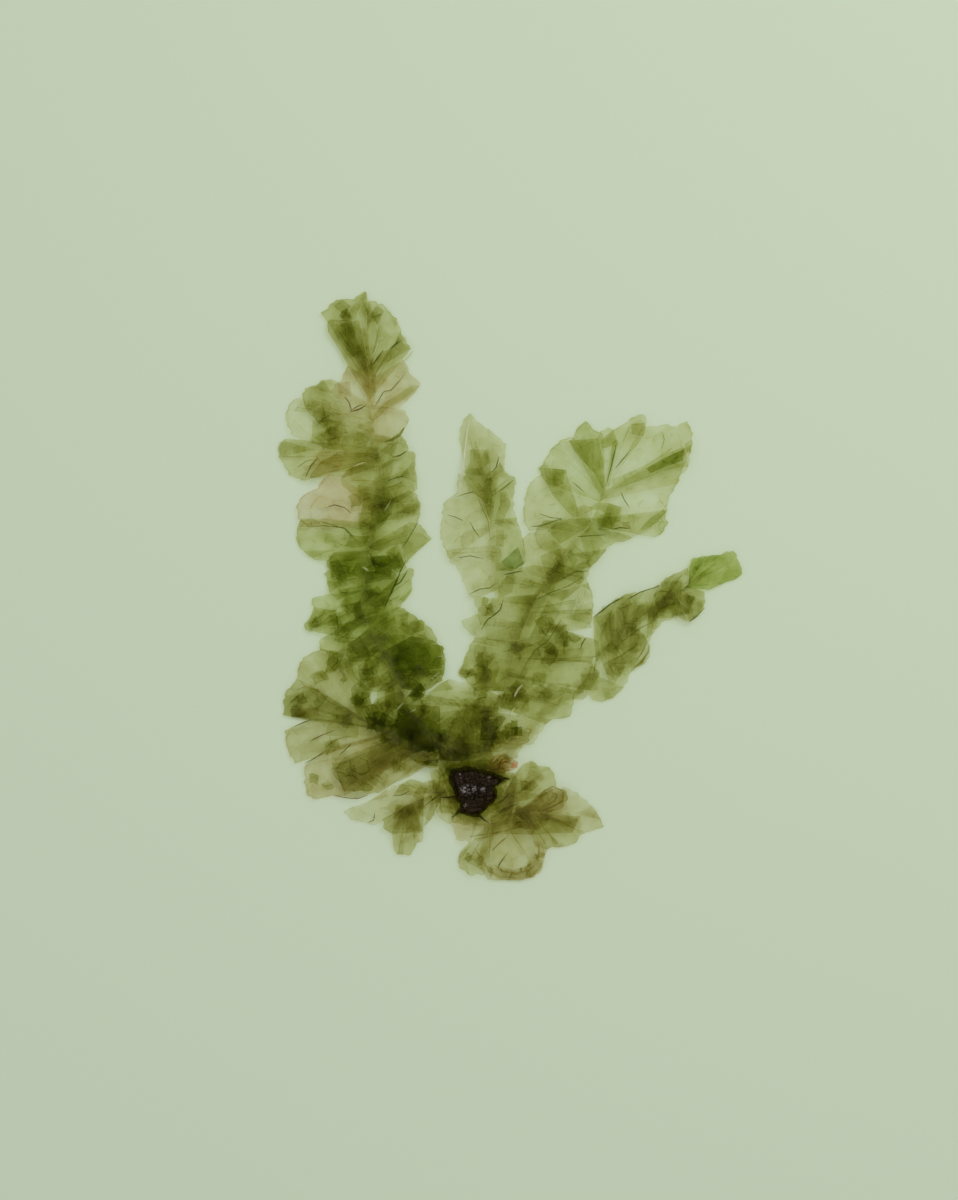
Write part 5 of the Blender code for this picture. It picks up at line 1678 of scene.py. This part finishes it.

# %% [markdown]
# ## The holdfast
#
# The horny disc that held the plant to its stone: purple-black, glossy and knobbly. Its
# material mixes two near-black browns by a noise, and turns pale in specks where the
# attribute "pale" says so: painted highlights where the glossy horn catches the light. The
# knobs' fine grain is bump, because it is finer than the mesh.

# %% Make the horn's material


def horn_material():
    """Dark horn in two browns, with pale specks of painted highlight and a fine bump."""
    material = bpy.data.materials.new("holdfast_horn")
    material.use_nodes = True
    tree = material.node_tree
    skin = tree.nodes["Principled BSDF"]
    place = node_in(tree, "ShaderNodeTexCoord").outputs["Object"]
    patches = noise_in(tree, place, 420.0, 4.0, 0.6)
    knobs = node_in(tree, "ShaderNodeTexVoronoi", {"Vector": place, "Scale": 900.0}).outputs[0]
    fine = noise_in(tree, place, 2600.0, 3.0, 0.6)
    colour = node_in(tree, "ShaderNodeMix", {0: patches}, data_type="RGBA")
    colour.inputs[6].default_value = (0.004, 0.0015, 0.0012, 1.0)
    colour.inputs[7].default_value = (0.015, 0.007, 0.003, 1.0)
    # Pale specks: painted highlights, where the attribute "pale" allows
    specks = sum_of(
        tree,
        "MULTIPLY",
        ranged(tree, noise_in(tree, place, 1100.0, 1.0, 0.5), 0.46, 0.60, 0.0, 1.0),
        node_in(tree, "ShaderNodeAttribute", attribute_name="pale").outputs["Fac"],
    )
    specked = node_in(tree, "ShaderNodeMix", {0: specks, 6: colour.outputs[2]}, data_type="RGBA")
    specked.inputs[7].default_value = (0.36, 0.32, 0.31, 1.0)
    tree.links.new(specked.outputs[2], skin.inputs["Base Color"])
    height = sum_of(tree, "ADD", knobs, sum_of(tree, "MULTIPLY", fine, 0.4))
    bump = node_in(tree, "ShaderNodeBump", {"Height": height, "Strength": 0.55, "Distance": 0.0005})
    tree.links.new(bump.outputs[0], skin.inputs["Normal"])
    tree.links.new(ranged(tree, patches, 0.3, 0.7, 0.16, 0.34), skin.inputs["Roughness"])
    skin.inputs["Specular IOR Level"].default_value = 0.22
    skin.inputs["Specular Tint"].default_value = (1.0, 0.86, 0.55, 1.0)
    return material


HORN_LOOK = horn_material()
print(len(HORN_LOOK.node_tree.nodes), "nodes in", HORN_LOOK.name)

# %% [markdown]
# ### Its form
#
# A dome with rounded knobs in three sizes, and short claws that run out over the roots.
# The dome is a grid of rings and directions, because its outline is known in every
# direction from its middle; a claw is a round profile along a line.

# %% Functions for the holdfast
DOME_DIRECTIONS = 144
DOME_RINGS = 40
CLAW_STATIONS = 12


def make_piece(name, node, places, faces, material):
    """A piece from places in millimetres and faces given by their numbers."""
    mesh = bpy.data.meshes.new(name)
    mesh.from_pydata((places * MM).tolist(), [], faces)
    mesh.polygons.foreach_set("use_smooth", np.ones(len(faces), bool))
    mesh.update()
    return place_piece(name, node, mesh, material)


def knobbly(x, y):
    """Rounded knobs from three sets of crossed waves, between about 0 and 1."""
    large = np.abs(np.sin(x * 0.85 + 0.6 * np.sin(y * 0.7)) * np.cos(y * 0.95 + 0.4))
    middle = np.abs(np.sin(x * 1.9 + y * 0.6) * np.cos(y * 2.2 - x * 0.5))
    small = np.abs(np.sin(x * 4.3 - y) * np.cos(y * 4.0 + x))
    return 0.5 * np.sqrt(large) + 0.32 * middle + 0.18 * small


def holdfast_dome():
    """A dome over the outline: flat below, rising steeply at its edge, with knobs on top."""
    turn = np.linspace(-math.pi, math.pi, DOME_DIRECTIONS, endpoint=False)
    limit = holdfast_limit(turn) + 0.15 + 0.30 * ripple(turn, 2 * math.pi / 7, 0.4)
    shares = np.concatenate([[1.0, 1.0], np.linspace(0.985, 0.03, DOME_RINGS)])
    x = HOLDFAST_MIDDLE[0] + shares[:, None] * limit[None, :] * np.cos(turn)[None, :]
    y = HOLDFAST_MIDDLE[1] + shares[:, None] * limit[None, :] * np.sin(turn)[None, :]
    rise = np.clip(1 - shares**2.4, 0, 1) ** 0.8
    z = 0.15 + (HOLDFAST_HEIGHT - 0.15) * rise[:, None] * (0.40 + 0.58 * knobbly(x, y))
    z[0] = 0.02
    z[1] = 0.12
    places = np.stack([x, y, z], axis=-1).reshape(-1, 3)
    peak = np.array([[*HOLDFAST_MIDDLE, z[-1].mean()], [*HOLDFAST_MIDDLE, 0.02]])
    rings, count = len(shares), len(turn)
    number = np.arange(rings * count).reshape(rings, count)
    after = np.roll(number, -1, axis=1)
    faces = np.stack([number[:-1], after[:-1], after[1:], number[1:]], axis=-1).reshape(-1, 4).tolist()
    faces += np.column_stack([number[-1], after[-1], np.full(count, rings * count)]).tolist()
    faces += np.column_stack([after[0], number[0], np.full(count, rings * count + 1)]).tolist()
    return np.vstack([places, peak]), faces


def claw(line, thick, thin, sides=8):
    """A tapered round claw along a line of places, closed at both ends."""
    run = lengths(line[:, :2])
    distance = np.linspace(0.0, run[-1], CLAW_STATIONS)
    middle = np.column_stack([np.interp(distance, run, line[:, i]) for i in range(3)])
    ahead = np.gradient(middle, axis=0)
    ahead /= np.linalg.norm(ahead, axis=1)[:, None]
    side = np.column_stack([-ahead[:, 1], ahead[:, 0], np.zeros(CLAW_STATIONS)])
    side /= np.linalg.norm(side, axis=1)[:, None]
    up = np.cross(ahead, side)
    radius = np.linspace(thick, thin, CLAW_STATIONS) * (1 + 0.15 * ripple(distance, 2.0, 0.3))
    turn = np.linspace(0, 2 * math.pi, sides, endpoint=False)
    ring = (
        middle[:, None, :]
        + radius[:, None, None] * np.cos(turn)[None, :, None] * side[:, None, :]
        + radius[:, None, None] * np.sin(turn)[None, :, None] * up[:, None, :]
    )
    number = np.arange(CLAW_STATIONS * sides).reshape(CLAW_STATIONS, sides)
    after = np.roll(number, -1, axis=1)
    faces = np.stack([number[:-1], number[1:], after[1:], after[:-1]], axis=-1).reshape(-1, 4).tolist()
    faces.append(number[0].tolist())
    faces.append(number[-1, ::-1].tolist())
    return ring.reshape(-1, 3), faces


print(f"the dome is {HOLDFAST_HEIGHT} mm high at most")

# %% [markdown]
# ### Dome and claws
#
# Each claw follows three places of the plan, half sunk in the fronds below it.

# %% Make the dome and the claws
# Each claw: its line, and its thickness at the foot and at the tip
CLAWS = [
    ("496,776 503,778 510,778.5", 0.9, 0.12),
    ("456,797 448,797 440,796", 0.45, 0.10),
    ("460,809 456,814 452,817", 0.45, 0.10),
    ("478,814 484,819 489,822", 0.45, 0.10),
]

# Pale specks painted as highlights where the glossy horn catches the light: place, radius in plan steps
HIGHLIGHT_SPECKS = [
    ("466,789", 4.6), ("473,788", 3.4), ("483,789", 2.2), ("461,775", 2.0), ("465,805", 1.8),
    ("489,778", 1.8),
]

places, faces = holdfast_dome()
dome = make_piece("holdfast_dome", "holdfast", places, faces, HORN_LOOK)
# The painted highlights' mask for the dome
pale = np.zeros(len(places))
for text, radius in HIGHLIGHT_SPECKS:
    pale = np.maximum(pale, 0.95 * near_spot(places, text, radius, 3))
dome.data.attributes.new("pale", "FLOAT", "POINT").data.foreach_set("value", pale)
for number, (text, thick, thin) in enumerate(CLAWS):
    flat = plan(text)
    height = np.maximum(heap_at(flat), 0.6) * np.array([0.45, 0.8, 0.95]) + thin
    height = np.minimum(height, BOX_HIGH[2] - thick)
    places, faces = claw(np.column_stack([flat, height]), thick, thin)
    places[:, 2] = np.clip(places[:, 2], BOX_LOW[2], BOX_HIGH[2])
    make_piece(f"holdfast_claw_{number + 1}", "holdfast", places, faces, HORN_LOOK)
print(f"a dome with {len(dome.data.polygons)} faces and {len(CLAWS)} claws")

# %% [markdown]
# ### Collars
#
# Two ragged collars of tissue spread from the holdfast's foot, as all fronds grow out of
# it. They start inside the dome, so that no gap shows round it.

# %% Make the collars
COLLAR_HOLD = 0.9
COLLARS = ((3.4, "g", 1.8, 5), (2.0, "v", 1.6, 7))
turn, share = np.meshgrid(np.linspace(0, 2 * math.pi, 121), np.linspace(0, 1, 7), indexing="ij")
sheaf = Sheaf()
for widest, tone, layers, waves in COLLARS:
    width = widest * (1 + 0.3 * ripple(turn, 2 * math.pi / waves, 0.8))
    reach = holdfast_limit(turn) - COLLAR_HOLD + share * (width + COLLAR_HOLD)
    collar = np.stack(
        [
            HOLDFAST_MIDDLE[0] + reach * np.cos(turn),
            HOLDFAST_MIDDLE[1] + reach * np.sin(turn),
            1.9 - 1.2 * share + 0.15 * ripple(turn, 2 * math.pi / 9, 0.3) + 0.1 * (tone == "v"),
        ],
        axis=-1,
    )
    sheaf.add(collar, np.stack([turn * 5, share * 6], axis=-1), tone, layers * (1.4 - 0.8 * share))
sheaf.make("holdfast_collar", "holdfast", MEMBRANE_LOOK)

# %% [markdown]
# ## The scrap of red weed
#
# A crumpled flake of another seaweed: two red-brown layers with a pinkish tip, made as
# shells over a fan of places round the scrap's middle, with a few creases and two pale
# painted highlights.

# %% Make the red scrap
SCRAP_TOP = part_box("red_weed_scrap")[1].z / MM
SCRAP_PLACES = 64


def scrap_grid(outline, middle, rings, lift, phase):
    """Places over a ragged flake, closed round its middle, on top of the heap."""
    outline = np.vstack([outline, outline[:1]])
    run = lengths(outline)
    edge = along(outline, np.linspace(0, run[-1], SCRAP_PLACES))
    share = np.linspace(0.04, 1.0, rings)
    flat = middle + (edge - middle)[:, None, :] * share[None, :, None]
    waves = 0.22 * ripple(np.linspace(0, run[-1], SCRAP_PLACES), 5.1, phase)[:, None] * share[None, :]
    height = np.full(flat.shape[:2], SCRAP_TOP - 0.75) + lift + waves
    height -= 0.9 * share[None, :] ** 2
    return np.concatenate([flat, height[..., None]], axis=2), flat


SCRAP = plan(SCRAP_OUTLINE)
SCRAP_MIDDLE = plan(f"{SCRAP_CENTRE[0]},{SCRAP_CENTRE[1]}")[0]
sheaf = Sheaf()
grid, uv = scrap_grid(SCRAP, SCRAP_MIDDLE, 12, 0.0, 1.0)
sheaf.add(grid, uv, "r", 1.3, 0.06)
grid, uv = scrap_grid(SCRAP_MIDDLE + (SCRAP - SCRAP_MIDDLE) * 0.72, SCRAP_MIDDLE - 0.5, 10, 0.25, 2.6)
sheaf.add(grid, uv, "o", 0.8, 0.06)

# Creases: line, width, tone, layers and how much is surface; the last two rows, mostly
# surface, are pale painted highlights
SCRAP_CREASES = [
    ("503,757 499,762 500,768", 0.7, "s", 1.0, 0.08),
    ("497,764 506,760 512,763", 0.5, "s", 1.2, 0.08),
    ("494,769 502,771 510,768", 0.6, "r", 1.2, 0.08),
    ("498,756 504,754 508,758", 0.9, "v", 1.2, 0.08),
    ("492,765 496,761 498,757", 0.8, "v", 1.0, 0.08),
    # Painted highlights: pale streaks where the flake's ridges catch the light
    ("492,761 495,758 498,755", 0.25, "r", 0.5, 0.36),
    ("506,767 508,764 509,761", 0.25, "r", 0.5, 0.36),
]
for text, width, tone, layers, cover in SCRAP_CREASES:
    line = plan(text)
    grid, uv = ribbon_grid(line, spindle(width), 0.0, 3, 0.4)
    grid[..., 2] = SCRAP_TOP - 0.3
    sheaf.add(grid, uv, tone, layers, cover, CREASE_THICKNESS)
tip = plan("512,761 517,762 517,766 511,767")
flat, u, v = patch(*tip, 8)
height = np.full(flat.shape[:2], SCRAP_TOP - 0.55)
sheaf.add(np.concatenate([flat, height[..., None]], axis=2), flat, "q", 1.0, 0.15)
sheaf.make("red_weed_flakes", "red_weed_scrap", MEMBRANE_LOOK)

# %% [markdown]
# ## Floor
#
# The floor is plain and a pale grey-green, and it matters more than usual: the film's
# colours are what it leaves of the floor's. It lies a tenth of a millimetre below the
# plant, so that the two never share a face.

# %% Make the floor
FLOOR_REACH = 1.5
FLOOR_HEIGHT = -0.0001
FLOOR_COLOUR = (0.655, 0.755, 0.570, 1.0)

floor_mesh = bpy.data.meshes.new("floor")
corners = np.array([(-1, -1), (1, -1), (1, 1), (-1, 1)]) * FLOOR_REACH
floor_mesh.from_pydata([(x, y, FLOOR_HEIGHT) for x, y in corners], [], [(0, 1, 2, 3)])
floor = bpy.data.objects.new("floor", floor_mesh)
bpy.context.scene.collection.objects.link(floor)
floor_look = bpy.data.materials.new("pale_floor")
floor_look.use_nodes = True
floor_skin = floor_look.node_tree.nodes["Principled BSDF"]
floor_skin.inputs["Base Color"].default_value = FLOOR_COLOUR
floor_skin.inputs["Roughness"].default_value = 0.85
floor_skin.inputs["Specular IOR Level"].default_value = 0.1
floor_mesh.materials.append(floor_look)
floor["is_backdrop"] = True
print(f"a floor {2 * FLOOR_REACH:.0f} m wide")

# %% [markdown]
# ## Light
#
# The light is soft from all round, as film shows its colours best in even light, with one
# broad lamp for the sheen and a weaker one against it.

# %% Make the light
ROOM_LIGHT = 0.49

world = bpy.data.worlds.new("soft room")
world.use_nodes = True
world.node_tree.nodes["Background"].inputs["Color"].default_value = (1.0, 1.0, 1.0, 1.0)
world.node_tree.nodes["Background"].inputs["Strength"].default_value = ROOM_LIGHT
bpy.context.scene.world = world


def add_lamp(name, place, size, power):
    """A square area lamp at a place, turned towards the origin."""
    lamp = bpy.data.lights.new(name, "AREA")
    lamp.size = size
    lamp.energy = power
    holder = bpy.data.objects.new(name, lamp)
    holder.location = place
    direction = -holder.location.copy()
    holder.rotation_euler = direction.to_track_quat("-Z", "Y").to_euler()
    bpy.context.scene.collection.objects.link(holder)


add_lamp("window", (0.6, 0.7, 1.1), 0.7, 7.5)
add_lamp("fill", (-0.8, -0.3, 1.3), 1.0, 1.8)
print("two lamps in a room of", ROOM_LIGHT)

# %% [markdown]
# ## Camera
#
# The camera looks straight down. Its lens follows from how much of the plan the picture
# covers. A ray of light crosses dozens of films, so many more see-through faces are
# allowed than usual.

# %% Make the camera
VIEW_HEIGHT = 0.6
SENSOR = 36.0
PICTURE_HEIGHT = 1200 * PLAN_SCALE * MM
PICTURE_CENTRE = plan("479,600")[0] * MM

camera_data = bpy.data.cameras.new("camera")
camera_data.sensor_fit = "AUTO"
camera_data.sensor_width = SENSOR
camera_data.lens = SENSOR * VIEW_HEIGHT / PICTURE_HEIGHT
camera_data.clip_start = 0.01
camera = bpy.data.objects.new("camera", camera_data)
camera.location = (PICTURE_CENTRE[0], PICTURE_CENTRE[1], VIEW_HEIGHT)
bpy.context.scene.collection.objects.link(camera)
bpy.context.scene.camera = camera
bpy.context.scene.view_settings.view_transform = "Standard"
bpy.context.scene.cycles.transparent_max_bounces = 96
print(f"lens {camera_data.lens:.1f} mm")
